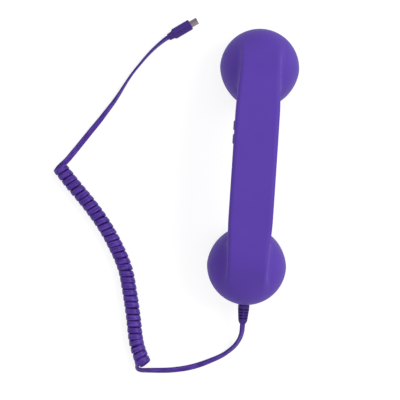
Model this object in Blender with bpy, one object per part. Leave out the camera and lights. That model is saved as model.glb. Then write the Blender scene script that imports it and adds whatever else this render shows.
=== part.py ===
"""A retro telephone handset with a curly data cord, lying on its ear and mouth caps.

The outer form is one rule: a handle with an arched back that bends down into two bells. Its skin is lofted
through sections of that rule, and the wall is the same rule set in by the wall thickness. The frame is
+Z up, with the handle along Y: the ear end at +Y, the mouth end and the cord at -Y, the keys at -X.
"""
import math

import bmesh
import bpy
import numpy as np
from mathutils import Matrix, Vector

# Driving sizes of the handset, in metres
HANDSET_LENGTH = 0.2050
HANDSET_HEIGHT = 0.0700
BELL_DIAMETER = 0.0588
BELL_TOP_DEPTH = 0.0260
BELL_WIDEST_HEIGHT = 0.0090
BELL_TILT = math.radians(6.0)
BELL_ROUNDNESS = 2.3
BELL_INNER_NARROWING = 0.075
HANDLE_WIDTH = 0.0323
HANDLE_WIDTH_OVER_BELL = 0.0297
HANDLE_THICKNESS = 0.0240
HANDLE_CORNER = 0.0030
BELL_CLEARANCE = 0.0045
ARCH_DROP = 0.0060
SHOULDER_RADIUS = 0.0340
STRIP_REACH = 0.0205
BLEND_RADIUS = 0.0040
WALL = 0.0024
GAP = 0.0003

# Caps
CAP_STEP = 0.0022
CAP_HEIGHT = 0.0085
CAP_EDGE_RADIUS = 0.0030
CAP_FLOOR = 0.0026
CAP_SKIRT = 0.0016
CAP_SKIRT_HEIGHT = 0.0035
CAP_DISH_RADIUS = 0.0165
CAP_DISH_SLOPE = 0.0030
CAP_DISH_DEPTH = 0.0010
EAR_HOLE_DIAMETER = 0.0024
EAR_HOLE_PITCH = 0.0046
EAR_HOLE_RINGS = 2
MOUTH_HOLE_DIAMETER = 0.0020
MOUTH_HOLE_PITCH = 0.0042
MOUTH_HOLE_RINGS = 1
SEAT_RING_WALL = 0.0015

# Cover of the handle's underside
COVER_HEIGHT = 0.0060
TAB_WIDTH = 0.0100
TAB_THICKNESS = 0.0020
TAB_ROOT = 0.0060
TAB_FOOT_INSET = 0.0005
TAB_END_MARGIN = 0.0042
COVER_SCREW_INSET = 0.0173
BOSS_DIAMETER = 0.0066
BOSS_HOLE_DEPTH = 0.0070

# Screws
SCREW_SHANK = 0.0024
SCREW_HEAD = 0.0046
SCREW_HEAD_HEIGHT = 0.0014
SCREW_RECESS = 0.0016
SCREW_BITE = 0.0060
BOARD_SCREW_CLEARANCE = 0.0050
BOARD_EAR_SCREW_SHARE = 0.35

# Speaker and microphone
GASKET_THICKNESS = 0.0012
SPEAKER_DIAMETER = 0.0330
SPEAKER_FLANGE = 0.0012
SPEAKER_DEPTH = 0.0068
SPEAKER_LIP = 0.0035
SPEAKER_WALL = 0.0009
DIAPHRAGM_THICKNESS = 0.0005
DIAPHRAGM_RISE = 0.0016
MAGNET_DIAMETER = 0.0180
MAGNET_HEIGHT = 0.0040
MAGNET_CHAMFER = 0.0005
MIC_DIAMETER = 0.0097
MIC_HEIGHT = 0.0045
MIC_CHAMFER = 0.0003
MIC_BOOT_WALL = 0.0011
MIC_BOOT_SHORTER = 0.0008

# Board, switches and keys
BOARD_SHORTER = 0.0100
BOARD_WIDTH = 0.0200
BOARD_THICKNESS = 0.0012
BOARD_CENTRE_Y = 0.0030
CHIP_SIZE = 0.0070
CHIP_HEIGHT = 0.0012
MOULDED_EDGE = 0.0002
CONNECTOR_LENGTH = 0.0050
CONNECTOR_WIDTH = 0.0090
CONNECTOR_HEIGHT = 0.0040
CONNECTOR_INSET = 0.0010
SWITCH_LENGTH = 0.0060
SWITCH_DEPTH = 0.0044
SWITCH_HEIGHT = 0.0035
SWITCH_CAVITY = 0.0034
PLUNGER_LENGTH = 0.0036
PLUNGER_WIDTH = 0.0026
PLUNGER_HEIGHT = 0.0016
PLUNGER_PROUD = 0.0015
PLUNGER_CLEARANCE = 0.00025
KEY_END_DISTANCE = 0.0092
KEY_PITCH = 0.0099
KEY_CENTRE_BELOW_TOP = 0.0108
KEY_LENGTH = 0.0072
KEY_HEIGHT = 0.0044
KEY_CORNER = 0.0016
KEY_PROUD = 0.00085
KEY_FLANGE = 0.0007
KEY_FLANGE_THICKNESS = 0.0010
KEY_STEM = 0.0026
KEY_EDGE_ROUND = 0.0004

# Ballast
BALLAST_SHORTER = 0.0220
BALLAST_WIDTH = 0.0180
BALLAST_THICKNESS = 0.0038
BALLAST_CHAMFER = 0.0006
FENCE_THICKNESS = 0.0016
FENCE_HEIGHT = 0.0030

# Strain relief and cord
BOOT_ROOT_DIAMETER = 0.0085
BOOT_TIP_DIAMETER = 0.0068
BOOT_COLLAR = 0.00375
BOOT_GROOVE_PITCH = 0.0022
BOOT_GROOVES = 4
BOOT_GROOVE_DEPTH = 0.0011
BOOT_RIB_ANGLE = math.radians(10.0)
BOOT_RAIL_ANGLE = math.radians(34.0)
BOOT_CONE = 0.00225
BOOT_END_DIAMETER = 0.0044
BOOT_FLANGE_DIAMETER = 0.0102
BOOT_FLANGE_THICKNESS = 0.0014
BOOT_FLANGE_PLAY = 0.0011
CORD_TUBE_DIAMETER = 0.0030
COIL_DIAMETER = 0.0112
CORE_DIAMETER = 0.0026
WIRE_DIAMETER = 0.0016

# Plug
PLUG_AXIS_HEIGHT = 0.0043
PLUG_TURN = math.radians(53.0)
PLUG_WIDTH = 0.0088
PLUG_THICKNESS = 0.0056
PLUG_CORNER = 0.0023
PLUG_EDGE = 0.0007
PLUG_SHOULDER = 0.0012
PLUG_LENGTH = 0.0150
PLUG_NECK_LENGTH = 0.0042
PLUG_NECK_WIDTH = 0.0056
PLUG_NECK_THICKNESS = 0.0044
PLUG_NECK_CORNER = 0.0020
PLUG_POCKET_DEPTH = 0.0015
PLUG_SHELL_WIDTH = 0.00685
PLUG_SHELL_THICKNESS = 0.0018
PLUG_SHELL_WALL = 0.0003
PLUG_SHELL_CORNER = 0.0008
PLUG_TONGUE_INSET = 0.0006
PLUG_SHELL_SHOWING = 0.0058
PLUG_TONGUE_WIDTH = 0.0042
PLUG_TONGUE_THICKNESS = 0.0005

# The cord's route, read off the photograph and written as real places on the surface, in metres
LEAD_HANDSET_ROUTE = [
    (0.0000, -0.1205, 0.0144),
    (-0.0003, -0.1245, 0.0121),
    (-0.0018, -0.1295, 0.0076),
    (-0.0052, -0.1350, 0.0034),
    (-0.0108, -0.1402, 0.0018),
    (-0.0160, -0.1436, 0.0016),
    (-0.0219, -0.1466, 0.0016),
    (-0.0277, -0.1493, 0.0016),
    (-0.0336, -0.1516, 0.0016),
    (-0.0395, -0.1534, 0.0016),
    (-0.0454, -0.1547, 0.0016),
    (-0.0514, -0.1557, 0.0016),
    (-0.0574, -0.1566, 0.0016),
    (-0.0634, -0.1572, 0.0016),
    (-0.0680, -0.1578, 0.0017),
    (-0.0712, -0.1576, 0.0018),
]
COIL_ROUTE = [
    (-0.1436, -0.0103),
    (-0.1333, -0.0218),
    (-0.1206, -0.0353),
    (-0.1088, -0.0496),
    (-0.0987, -0.0651),
    (-0.0904, -0.0815),
    (-0.0856, -0.0993),
    (-0.0817, -0.1175),
    (-0.0781, -0.1365),
    (-0.0731, -0.1522),
]
LEAD_PLUG_ROUTE = [
    (-0.1446, -0.0086, 0.0019),
    (-0.1438, -0.0074, 0.0018),
    (-0.1420, -0.0063, 0.0017),
    (-0.1393, -0.0041, 0.0016),
    (-0.1358, 0.0006, 0.0016),
    (-0.1323, 0.0054, 0.0016),
    (-0.1290, 0.0101, 0.0016),
    (-0.1256, 0.0149, 0.0016),
    (-0.1223, 0.0196, 0.0016),
    (-0.1188, 0.0244, 0.0016),
    (-0.1155, 0.0291, 0.0016),
    (-0.1124, 0.0338, 0.0016),
    (-0.1092, 0.0386, 0.0016),
    (-0.1062, 0.0433, 0.0016),
    (-0.1035, 0.0480, 0.0016),
    (-0.1010, 0.0527, 0.0016),
    (-0.0985, 0.0573, 0.0016),
    (-0.0958, 0.0620, 0.0016),
    (-0.0927, 0.0668, 0.0016),
    (-0.0893, 0.0715, 0.0017),
    (-0.0858, 0.0763, 0.0020),
    (-0.0820, 0.0810, 0.0026),
    (-0.0775, 0.0858, 0.0034),
]
PLUG_START = (-0.0693, 0.0928)
PLUG_HEADING = math.radians(34.3)

# How finely each form is faceted
RING_HALF_SEGMENTS = 18
INNER_RING_HALF_SEGMENTS = 12
FAN_STATIONS = 17
INNER_FAN_STATIONS = 11
HANDLE_STATIONS = 8
SECTION_RAYS = 181
SECTION_REACH = 0.075
CUT_MARGIN = 0.0020
CORNER_WEIGHT = 0.012
CAP_SEGMENTS = 36
HOLE_SEGMENTS = 8
TURNED_SEGMENTS = 24
SCREW_SEGMENTS = 12

# Sizes worked out from the driving ones
BELL_RADIUS = BELL_DIAMETER / 2
BELL_HEIGHT = HANDSET_HEIGHT - BELL_TOP_DEPTH
SEAM_RADIUS = BELL_RADIUS - CAP_STEP
BORE_RADIUS = SEAM_RADIUS - WALL
HOLE_RADIUS = SCREW_SHANK / 2 + GAP
BELL_RISE = BELL_HEIGHT - BELL_WIDEST_HEIGHT


def bell_radius_at(height):
    """The bell's radius at a height above its seam, on its outer side."""
    below = np.clip((BELL_WIDEST_HEIGHT - height) / BELL_WIDEST_HEIGHT, 0.0, None)
    above = np.clip((height - BELL_WIDEST_HEIGHT) / BELL_RISE, 0.0, 1.0)
    lower = BELL_RADIUS - (BELL_RADIUS - SEAM_RADIUS) * below**2
    return lower * (1.0 - above**BELL_ROUNDNESS) ** (1.0 / BELL_ROUNDNESS)


def bell_reach():
    """How far the tilted bell reaches beyond its seam's centre, towards its end of the handset."""
    heights = np.linspace(0.0, BELL_HEIGHT, 400)
    return float(np.max(bell_radius_at(heights) * math.cos(BELL_TILT) + heights * math.sin(BELL_TILT)))


def cap_outer_profile():
    """The cap's outer side as (radius, height) points, from the seam round the edge to the face's middle."""
    edge_centre = (SEAM_RADIUS - CAP_EDGE_RADIUS, CAP_EDGE_RADIUS - CAP_HEIGHT)
    points = [(SEAM_RADIUS, -GAP)]
    for step in range(6):
        turn = math.pi / 2 * step / 5
        points.append(
            (
                edge_centre[0] + CAP_EDGE_RADIUS * math.cos(turn),
                edge_centre[1] - CAP_EDGE_RADIUS * math.sin(turn),
            )
        )
    points.append((CAP_DISH_RADIUS, -CAP_HEIGHT))
    points.append((CAP_DISH_RADIUS - CAP_DISH_SLOPE, CAP_DISH_DEPTH - CAP_HEIGHT))
    points.append((0.0, CAP_DISH_DEPTH - CAP_HEIGHT))
    return points


SEAM_Y = HANDSET_LENGTH / 2 - bell_reach()
FLAT_SIDE = math.cos(math.pi / CAP_SEGMENTS)
SEAM_Z = max(
    radius * FLAT_SIDE * math.sin(BELL_TILT) - height * math.cos(BELL_TILT)
    for radius, height in cap_outer_profile()
)
ARCH_RADIUS = (SEAM_Y**2 + ARCH_DROP**2) / (2 * ARCH_DROP)
ARCH_CENTRE_Z = HANDSET_HEIGHT - ARCH_RADIUS
LEG_Y = SEAM_Y + STRIP_REACH
SHOULDER_Y = LEG_Y - SHOULDER_RADIUS
SHOULDER_Z = ARCH_CENTRE_Z + math.sqrt((ARCH_RADIUS - SHOULDER_RADIUS) ** 2 - SHOULDER_Y**2)
SHOULDER_TURN = math.asin(SHOULDER_Y / (ARCH_RADIUS - SHOULDER_RADIUS))
FAN_Y = SEAM_Y - BELL_RADIUS - BELL_CLEARANCE
HANDLE_STRAIGHT = 2 * FAN_Y
COVER_LENGTH = HANDLE_STRAIGHT
BOARD_LENGTH = COVER_LENGTH - BOARD_SHORTER
BALLAST_LENGTH = COVER_LENGTH - BALLAST_SHORTER
KEY_CENTRES_Y = {"up": FAN_Y - KEY_END_DISTANCE, "down": FAN_Y - KEY_END_DISTANCE - KEY_PITCH}
FAN_Z = SEAM_Z + (SEAM_Y - FAN_Y) * math.tan(BELL_TILT)


def arch_z(y, depth=0.0):
    """Height of the handle's arched back at y, or of the line a depth below it."""
    return ARCH_CENTRE_Z + math.sqrt((ARCH_RADIUS - depth) ** 2 - y**2)


def smooth_step(value):
    clipped = np.clip(value, 0.0, 1.0)
    return clipped * clipped * (3.0 - 2.0 * clipped)


def smooth_union(first, second):
    """The union of two distance fields, with a fillet where they meet."""
    closeness = np.maximum(BLEND_RADIUS - np.abs(first - second), 0.0)
    return np.minimum(first, second) - closeness**2 / (4.0 * BLEND_RADIUS)


def handle_field(x, y, z):
    """Signed distance to the handle: an arched bar with rounded edges that bends down inside each bell."""
    across = np.abs(y)
    arch = np.hypot(across, z - ARCH_CENTRE_Z) - ARCH_RADIUS
    shoulder = np.hypot(across - SHOULDER_Y, z - SHOULDER_Z) - SHOULDER_RADIUS
    leg = across - LEG_Y
    under_arch = np.arctan2(across, z - ARCH_CENTRE_Z) < SHOULDER_TURN
    back = np.where(under_arch, arch, np.where(z > SHOULDER_Z, shoulder, leg))
    slab = np.abs(back + HANDLE_THICKNESS / 2) - HANDLE_THICKNESS / 2
    narrowing = smooth_step((across - FAN_Y) / (SEAM_Y - FAN_Y))
    width = HANDLE_WIDTH + (HANDLE_WIDTH_OVER_BELL - HANDLE_WIDTH) * narrowing
    side = np.abs(x) - width / 2
    deep = slab + HANDLE_CORNER
    wide = side + HANDLE_CORNER
    inside = np.minimum(np.maximum(deep, wide), 0.0)
    return inside + np.hypot(np.maximum(deep, 0.0), np.maximum(wide, 0.0)) - HANDLE_CORNER


def bell_field(x, y, z, end):
    """Distance to one tilted bell. Its side towards the handle is a little narrower than a circle."""
    along = end * y - SEAM_Y
    outward = along * math.cos(BELL_TILT) - (z - SEAM_Z) * math.sin(BELL_TILT)
    height = along * math.sin(BELL_TILT) + (z - SEAM_Z) * math.cos(BELL_TILT)
    radius = np.hypot(outward, x)
    inwardness = np.maximum(-outward, 0.0) / np.maximum(radius, 1e-9)
    ramp = smooth_step(height / BELL_WIDEST_HEIGHT)
    radius = radius / (1.0 - BELL_INNER_NARROWING * inwardness * ramp)
    below = np.clip((BELL_WIDEST_HEIGHT - height) / BELL_WIDEST_HEIGHT, 0.0, None)
    lower = radius - (BELL_RADIUS - (BELL_RADIUS - SEAM_RADIUS) * below**2)
    above = np.maximum(height - BELL_WIDEST_HEIGHT, 0.0) / BELL_RISE
    dome = (radius / BELL_RADIUS) ** BELL_ROUNDNESS + above**BELL_ROUNDNESS
    upper = (dome ** (1.0 / BELL_ROUNDNESS) - 1.0) * BELL_RADIUS
    return np.where(height < BELL_WIDEST_HEIGHT, lower, upper)


def handset_field(points):
    """Negative inside the handset's outer form and positive outside it."""
    x, y, z = points[..., 0], points[..., 1], points[..., 2]
    end = np.where(y < 0.0, -1.0, 1.0)
    return smooth_union(handle_field(x, y, z), bell_field(x, y, z, end))


def half_section(centre, outward, inset, half_segments):
    """Points of one half (x > 0) of the form's section in a plane, from its inner to its outer side.

    They are spread by length and by how much the outline turns, so that the rounded edges keep their shape.
    """
    angles = np.linspace(-math.pi / 2, math.pi / 2, SECTION_RAYS)
    rays = np.cos(angles)[:, None] * np.array([1.0, 0.0, 0.0]) + np.sin(angles)[:, None] * outward
    reach = np.linspace(0.0, SECTION_REACH, 151)
    values = handset_field(centre + rays[:, None, :] * reach[None, :, None]) + inset
    leaves = np.argmax(values > 0.0, axis=1)
    low = reach[np.maximum(leaves - 1, 0)]
    high = reach[leaves]
    for _ in range(30):
        middle = (low + high) / 2
        inside = handset_field(centre + rays * middle[:, None]) + inset < 0.0
        low = np.where(inside, middle, low)
        high = np.where(inside, high, middle)
    dense = centre + rays * high[:, None]
    steps = np.diff(dense, axis=0)
    lengths = np.linalg.norm(steps, axis=1)
    headings = np.arctan2(steps @ outward, steps[:, 0])
    turns = np.abs(np.diff(np.unwrap(headings)))
    turns = np.concatenate([[0.0], turns]) / 2 + np.concatenate([turns, [0.0]]) / 2
    progress = np.concatenate([[0.0], np.cumsum(lengths + CORNER_WEIGHT * turns)])
    wanted = np.linspace(0.0, progress[-1], half_segments + 1)
    section = np.stack([np.interp(wanted, progress, dense[:, axis]) for axis in range(3)], axis=1)
    section[0, 0] = 0.0
    section[-1, 0] = 0.0
    return section


def section_ring(centre, outward, inset, half_segments):
    """A whole section as a closed ring of points, starting on the inner side and passing through +X first."""
    half = half_section(centre, outward, inset, half_segments)
    other = half[-2:0:-1] * np.array([-1.0, 1.0, 1.0])
    return np.concatenate([half, other])


def loft_rings(inset, half_segments, fan_stations, handle_stations):
    """Rings from the ear cap's seam over the handle to the mouth cap's seam.

    Sections of the handle stand upright. In each bell they fan out about a line in the seam's own plane.
    """
    start = HANDSET_HEIGHT - HANDLE_THICKNESS / 2 - FAN_Z
    finish = (SEAM_Y - FAN_Y) / math.cos(BELL_TILT)
    fan = []
    for index in range(fan_stations, 0, -1):
        share = index / fan_stations
        turn = (math.pi / 2 + BELL_TILT) * share
        distance = start + (finish - start) * share
        fan.append((turn, distance))
    rings = []
    for end in (1.0, -1.0):
        bell_rings = []
        for turn, distance in fan:
            outward = np.array([0.0, end * math.sin(turn), math.cos(turn)])
            centre = np.array([0.0, end * FAN_Y, FAN_Z]) + outward * distance
            bell_rings.append(section_ring(centre, outward, inset, half_segments))
        if end > 0:
            rings.extend(bell_rings)
            for index in range(handle_stations + 1):
                y = FAN_Y - HANDLE_STRAIGHT * index / handle_stations
                centre = np.array([0.0, y, arch_z(y, HANDLE_THICKNESS / 2)])
                rings.append(section_ring(centre, np.array([0.0, 0.0, 1.0]), inset, half_segments))
        else:
            rings.extend(bell_rings[::-1])
    return rings


def quads_as_triangles(points, corners):
    """Two triangles for a quad, split along its shorter diagonal."""
    a, b, c, d = corners
    if np.linalg.norm(points[a] - points[c]) <= np.linalg.norm(points[b] - points[d]):
        return [(a, b, c), (a, c, d)]
    return [(a, b, d), (b, c, d)]


def zip_rings(outer, inner):
    """Triangles between two rings of one plane that start at the same angle and hold different counts."""
    faces = []
    i = 0
    j = 0
    while i < len(outer) or j < len(inner):
        if j == len(inner) or (i < len(outer) and (i + 1) * len(inner) <= (j + 1) * len(outer)):
            faces.append((outer[i % len(outer)], outer[(i + 1) % len(outer)], inner[j % len(inner)]))
            i += 1
        else:
            faces.append((outer[i % len(outer)], inner[(j + 1) % len(inner)], inner[j % len(inner)]))
            j += 1
    return faces


def handset_skin():
    """Points and triangles of the whole hollow skin, from seam to seam, with its wall."""
    outer = loft_rings(0.0, RING_HALF_SEGMENTS, FAN_STATIONS, HANDLE_STATIONS)
    inner = loft_rings(WALL, INNER_RING_HALF_SEGMENTS, INNER_FAN_STATIONS, HANDLE_STATIONS)
    points = np.concatenate(outer + inner)
    outer_count = len(outer[0])
    inner_count = len(inner[0])
    inner_base = outer_count * len(outer)

    def outer_ring(index):
        return [index * outer_count + k for k in range(outer_count)]

    def inner_ring(index):
        return [inner_base + index * inner_count + k for k in range(inner_count)]

    faces = []
    for index in range(len(outer) - 1):
        near, far = outer_ring(index), outer_ring(index + 1)
        for k in range(outer_count):
            n = (k + 1) % outer_count
            faces += quads_as_triangles(points, (near[k], near[n], far[n], far[k]))
    for index in range(len(inner) - 1):
        near, far = inner_ring(index), inner_ring(index + 1)
        for k in range(inner_count):
            n = (k + 1) % inner_count
            faces += quads_as_triangles(points, (near[k], far[k], far[n], near[n]))
    first = zip_rings(outer_ring(0), inner_ring(0))
    last = zip_rings(outer_ring(len(outer) - 1), inner_ring(len(inner) - 1))
    faces += [face[::-1] for face in first]
    faces += last
    return points, faces


def clear_scene():
    for item in list(bpy.data.objects):
        bpy.data.objects.remove(item, do_unlink=True)


def finish_material(name, colour, roughness, metallic=0.0):
    material = bpy.data.materials.new(name)
    material.use_nodes = True
    shader = material.node_tree.nodes["Principled BSDF"]
    shader.inputs["Base Color"].default_value = (*colour, 1.0)
    shader.inputs["Roughness"].default_value = roughness
    shader.inputs["Metallic"].default_value = metallic
    material.diffuse_color = (*colour, 1.0)
    return material


def add_mesh_object(name, mesh, material=None, helper=False):
    item = bpy.data.objects.new(name, mesh)
    bpy.context.scene.collection.objects.link(item)
    if material:
        mesh.materials.append(material)
    if helper:
        item.hide_render = True
        item.display_type = "WIRE"
    return item


def shade_round(mesh, sharp_degrees=40.0):
    mesh.shade_smooth()
    mesh.set_sharp_from_angle(angle=math.radians(sharp_degrees))


def mesh_from_faces(name, points, faces):
    """A mesh from points and faces, with its faces turned outwards."""
    mesh = bpy.data.meshes.new(name)
    mesh.from_pydata([tuple(point) for point in points], [], faces)
    form = bmesh.new()
    form.from_mesh(mesh)
    bmesh.ops.recalc_face_normals(form, faces=form.faces)
    form.to_mesh(mesh)
    form.free()
    shade_round(mesh)
    return mesh


def turned_mesh(name, profile, segments, phase=0.0):
    """A turned solid about Z from a closed (radius, height) profile. Points at radius 0 become poles."""
    form = bmesh.new()
    rings = []
    for radius, height in profile:
        if radius < 1e-7:
            rings.append([form.verts.new((0.0, 0.0, height))])
            continue
        ring = []
        for k in range(segments):
            turn = 2 * math.pi * (k + phase) / segments
            ring.append(form.verts.new((radius * math.cos(turn), radius * math.sin(turn), height)))
        rings.append(ring)
    for index, ring in enumerate(rings):
        following = rings[(index + 1) % len(rings)]
        if len(ring) == 1 and len(following) == 1:
            continue
        for k in range(segments):
            n = (k + 1) % segments
            corners = [ring[k % len(ring)], ring[n % len(ring)]]
            corners += [following[n % len(following)], following[k % len(following)]]
            form.faces.new(list(dict.fromkeys(corners)))
    bmesh.ops.recalc_face_normals(form, faces=form.faces)
    mesh = bpy.data.meshes.new(name)
    form.to_mesh(mesh)
    form.free()
    shade_round(mesh)
    return mesh


def cylinder_mesh(name, radius, low, high, segments=SCREW_SEGMENTS):
    return turned_mesh(name, [(0.0, low), (radius, low), (radius, high), (0.0, high)], segments)


def block_mesh(name, low, high, bevel=0.0, bevel_segments=1):
    """A box between two corners, with its edges beveled if asked."""
    form = bmesh.new()
    bmesh.ops.create_cube(form, size=1.0)
    low, high = Vector(low), Vector(high)
    size = high - low
    centre = (high + low) / 2
    for vertex in form.verts:
        vertex.co = Vector(vertex.co[k] * size[k] + centre[k] for k in range(3))
    if bevel > 0.0:
        bmesh.ops.bevel(
            form, geom=list(form.edges), offset=bevel, segments=bevel_segments, affect="EDGES", profile=0.5
        )
    mesh = bpy.data.meshes.new(name)
    form.to_mesh(mesh)
    form.free()
    return mesh


def rounded_outline(width, height, corner, corner_steps):
    """Points of a rounded rectangle about the origin, anticlockwise, starting at its right side."""
    corner = min(corner, width / 2 - 1e-5, height / 2 - 1e-5)
    points = []
    for quarter in range(4):
        side_x = 1.0 if quarter in (0, 3) else -1.0
        side_y = 1.0 if quarter < 2 else -1.0
        centre = (side_x * (width / 2 - corner), side_y * (height / 2 - corner))
        for step in range(corner_steps + 1):
            turn = math.pi / 2 * (quarter + step / corner_steps)
            points.append((centre[0] + corner * math.cos(turn), centre[1] + corner * math.sin(turn)))
    return points


def lofted_mesh(name, outlines):
    """A closed solid through outlines of equal count, each a list of 3-D points, with flat ends."""
    form = bmesh.new()
    rings = [[form.verts.new(point) for point in outline] for outline in outlines]
    count = len(rings[0])
    for near, far in zip(rings, rings[1:]):
        for k in range(count):
            n = (k + 1) % count
            form.faces.new((near[k], near[n], far[n], far[k]))
    form.faces.new(rings[0][::-1])
    form.faces.new(rings[-1])
    bmesh.ops.recalc_face_normals(form, faces=form.faces)
    mesh = bpy.data.meshes.new(name)
    form.to_mesh(mesh)
    form.free()
    shade_round(mesh)
    return mesh


def boolean(item, cutter, operation):
    modifier = item.modifiers.new(cutter.name, "BOOLEAN")
    modifier.operation = operation
    modifier.object = cutter
    modifier.solver = "EXACT"


def helper_object(name, mesh, parent=None):
    item = add_mesh_object(name, mesh, helper=True)
    item.parent = parent
    return item


def cap_frame(end):
    """An empty at a seam's centre, with its Z up into the tilted bell and its X towards the handset's end."""
    frame = bpy.data.objects.new("ear_frame" if end > 0 else "mouth_frame", None)
    bpy.context.scene.collection.objects.link(frame)
    axis = Vector((0.0, end * math.sin(BELL_TILT), math.cos(BELL_TILT)))
    outward = Vector((0.0, end * math.cos(BELL_TILT), -math.sin(BELL_TILT)))
    side = axis.cross(outward)
    turn = Matrix((outward, side, axis)).transposed().to_4x4()
    frame.matrix_world = Matrix.Translation((0.0, end * SEAM_Y, SEAM_Z)) @ turn
    return frame


def cover_outline(inset):
    """The cover's side outline in Y and Z: its top follows the arch, and it runs out below the handle."""
    half = COVER_LENGTH / 2 - inset
    top_depth = HANDLE_THICKNESS - COVER_HEIGHT + inset
    bottom_depth = HANDLE_THICKNESS + 2 * CUT_MARGIN
    steps = 12
    ys = [half - 2 * half * k / steps for k in range(steps + 1)]
    upper = [(y, arch_z(y, top_depth)) for y in ys]
    lower = [(y, arch_z(y, bottom_depth)) for y in reversed(ys)]
    return upper + lower


def cover_cutter(name, inset):
    half_width = HANDLE_WIDTH / 2 + CUT_MARGIN
    outline = cover_outline(inset)
    ends = [[(side * half_width, y, z) for y, z in outline] for side in (-1.0, 1.0)]
    return helper_object(name, lofted_mesh(name, ends))


def key_height():
    """Height of both keys' centres: a stated distance below the handle's back, midway between the keys."""
    middle = sum(KEY_CENTRES_Y.values()) / len(KEY_CENTRES_Y)
    return arch_z(middle) - KEY_CENTRE_BELOW_TOP


KEY_Z = key_height()
BOARD_TOP = KEY_Z - SWITCH_HEIGHT / 2 - GAP
BOARD_BOTTOM = BOARD_TOP - BOARD_THICKNESS
INNER_SIDE_X = HANDLE_WIDTH / 2 - WALL
FLOOR_DEPTH = HANDLE_THICKNESS - WALL
COVER_SCREW_Y = SEAM_Y - COVER_SCREW_INSET
TAB_END_Y = COVER_SCREW_Y + TAB_END_MARGIN
TAB_BOTTOM = arch_z(COVER_LENGTH / 2, FLOOR_DEPTH) + GAP
TAB_TOP = TAB_BOTTOM + TAB_THICKNESS
BOARD_EAR_END_Y = BOARD_CENTRE_Y + BOARD_LENGTH / 2
CONNECTOR_FACE_Y = BOARD_CENTRE_Y - BOARD_LENGTH / 2 + CONNECTOR_INSET
BOARD_SCREWS_Y = {
    "ear": BOARD_EAR_END_Y - BOARD_LENGTH * BOARD_EAR_SCREW_SHARE,
    "mouth": CONNECTOR_FACE_Y + CONNECTOR_LENGTH + BOARD_SCREW_CLEARANCE,
}
SWITCH_FRONT_X = -BOARD_WIDTH / 2 + GAP
STEM_END_X = SWITCH_FRONT_X - PLUNGER_PROUD - GAP
CAP_FLOOR_TOP = CAP_FLOOR - CAP_HEIGHT

# The cord leaves the mouth bell square to its wall, where the bell is widest
EXIT_AXIS = Vector((0.0, -math.cos(BELL_TILT), -math.sin(BELL_TILT)))
MOUTH_AXIS = Vector((0.0, -math.sin(BELL_TILT), math.cos(BELL_TILT)))
EXIT_POINT = Vector((0.0, -SEAM_Y, SEAM_Z)) + EXIT_AXIS * BELL_RADIUS + MOUTH_AXIS * BELL_WIDEST_HEIGHT


def boss(name, y, bottom):
    """A screw boss that hangs from the inside of the handle's back down to a height, with its blind hole."""
    top = arch_z(y) - WALL / 2
    hole_top = bottom + BOSS_HOLE_DEPTH
    profile = [
        (HOLE_RADIUS, bottom),
        (BOSS_DIAMETER / 2, bottom),
        (BOSS_DIAMETER / 2, top),
        (0.0, top),
        (0.0, hole_top),
        (HOLE_RADIUS, hole_top),
    ]
    post = helper_object(name, turned_mesh(name, profile, SCREW_SEGMENTS))
    post.location = (0.0, y, 0.0)
    return post


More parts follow.
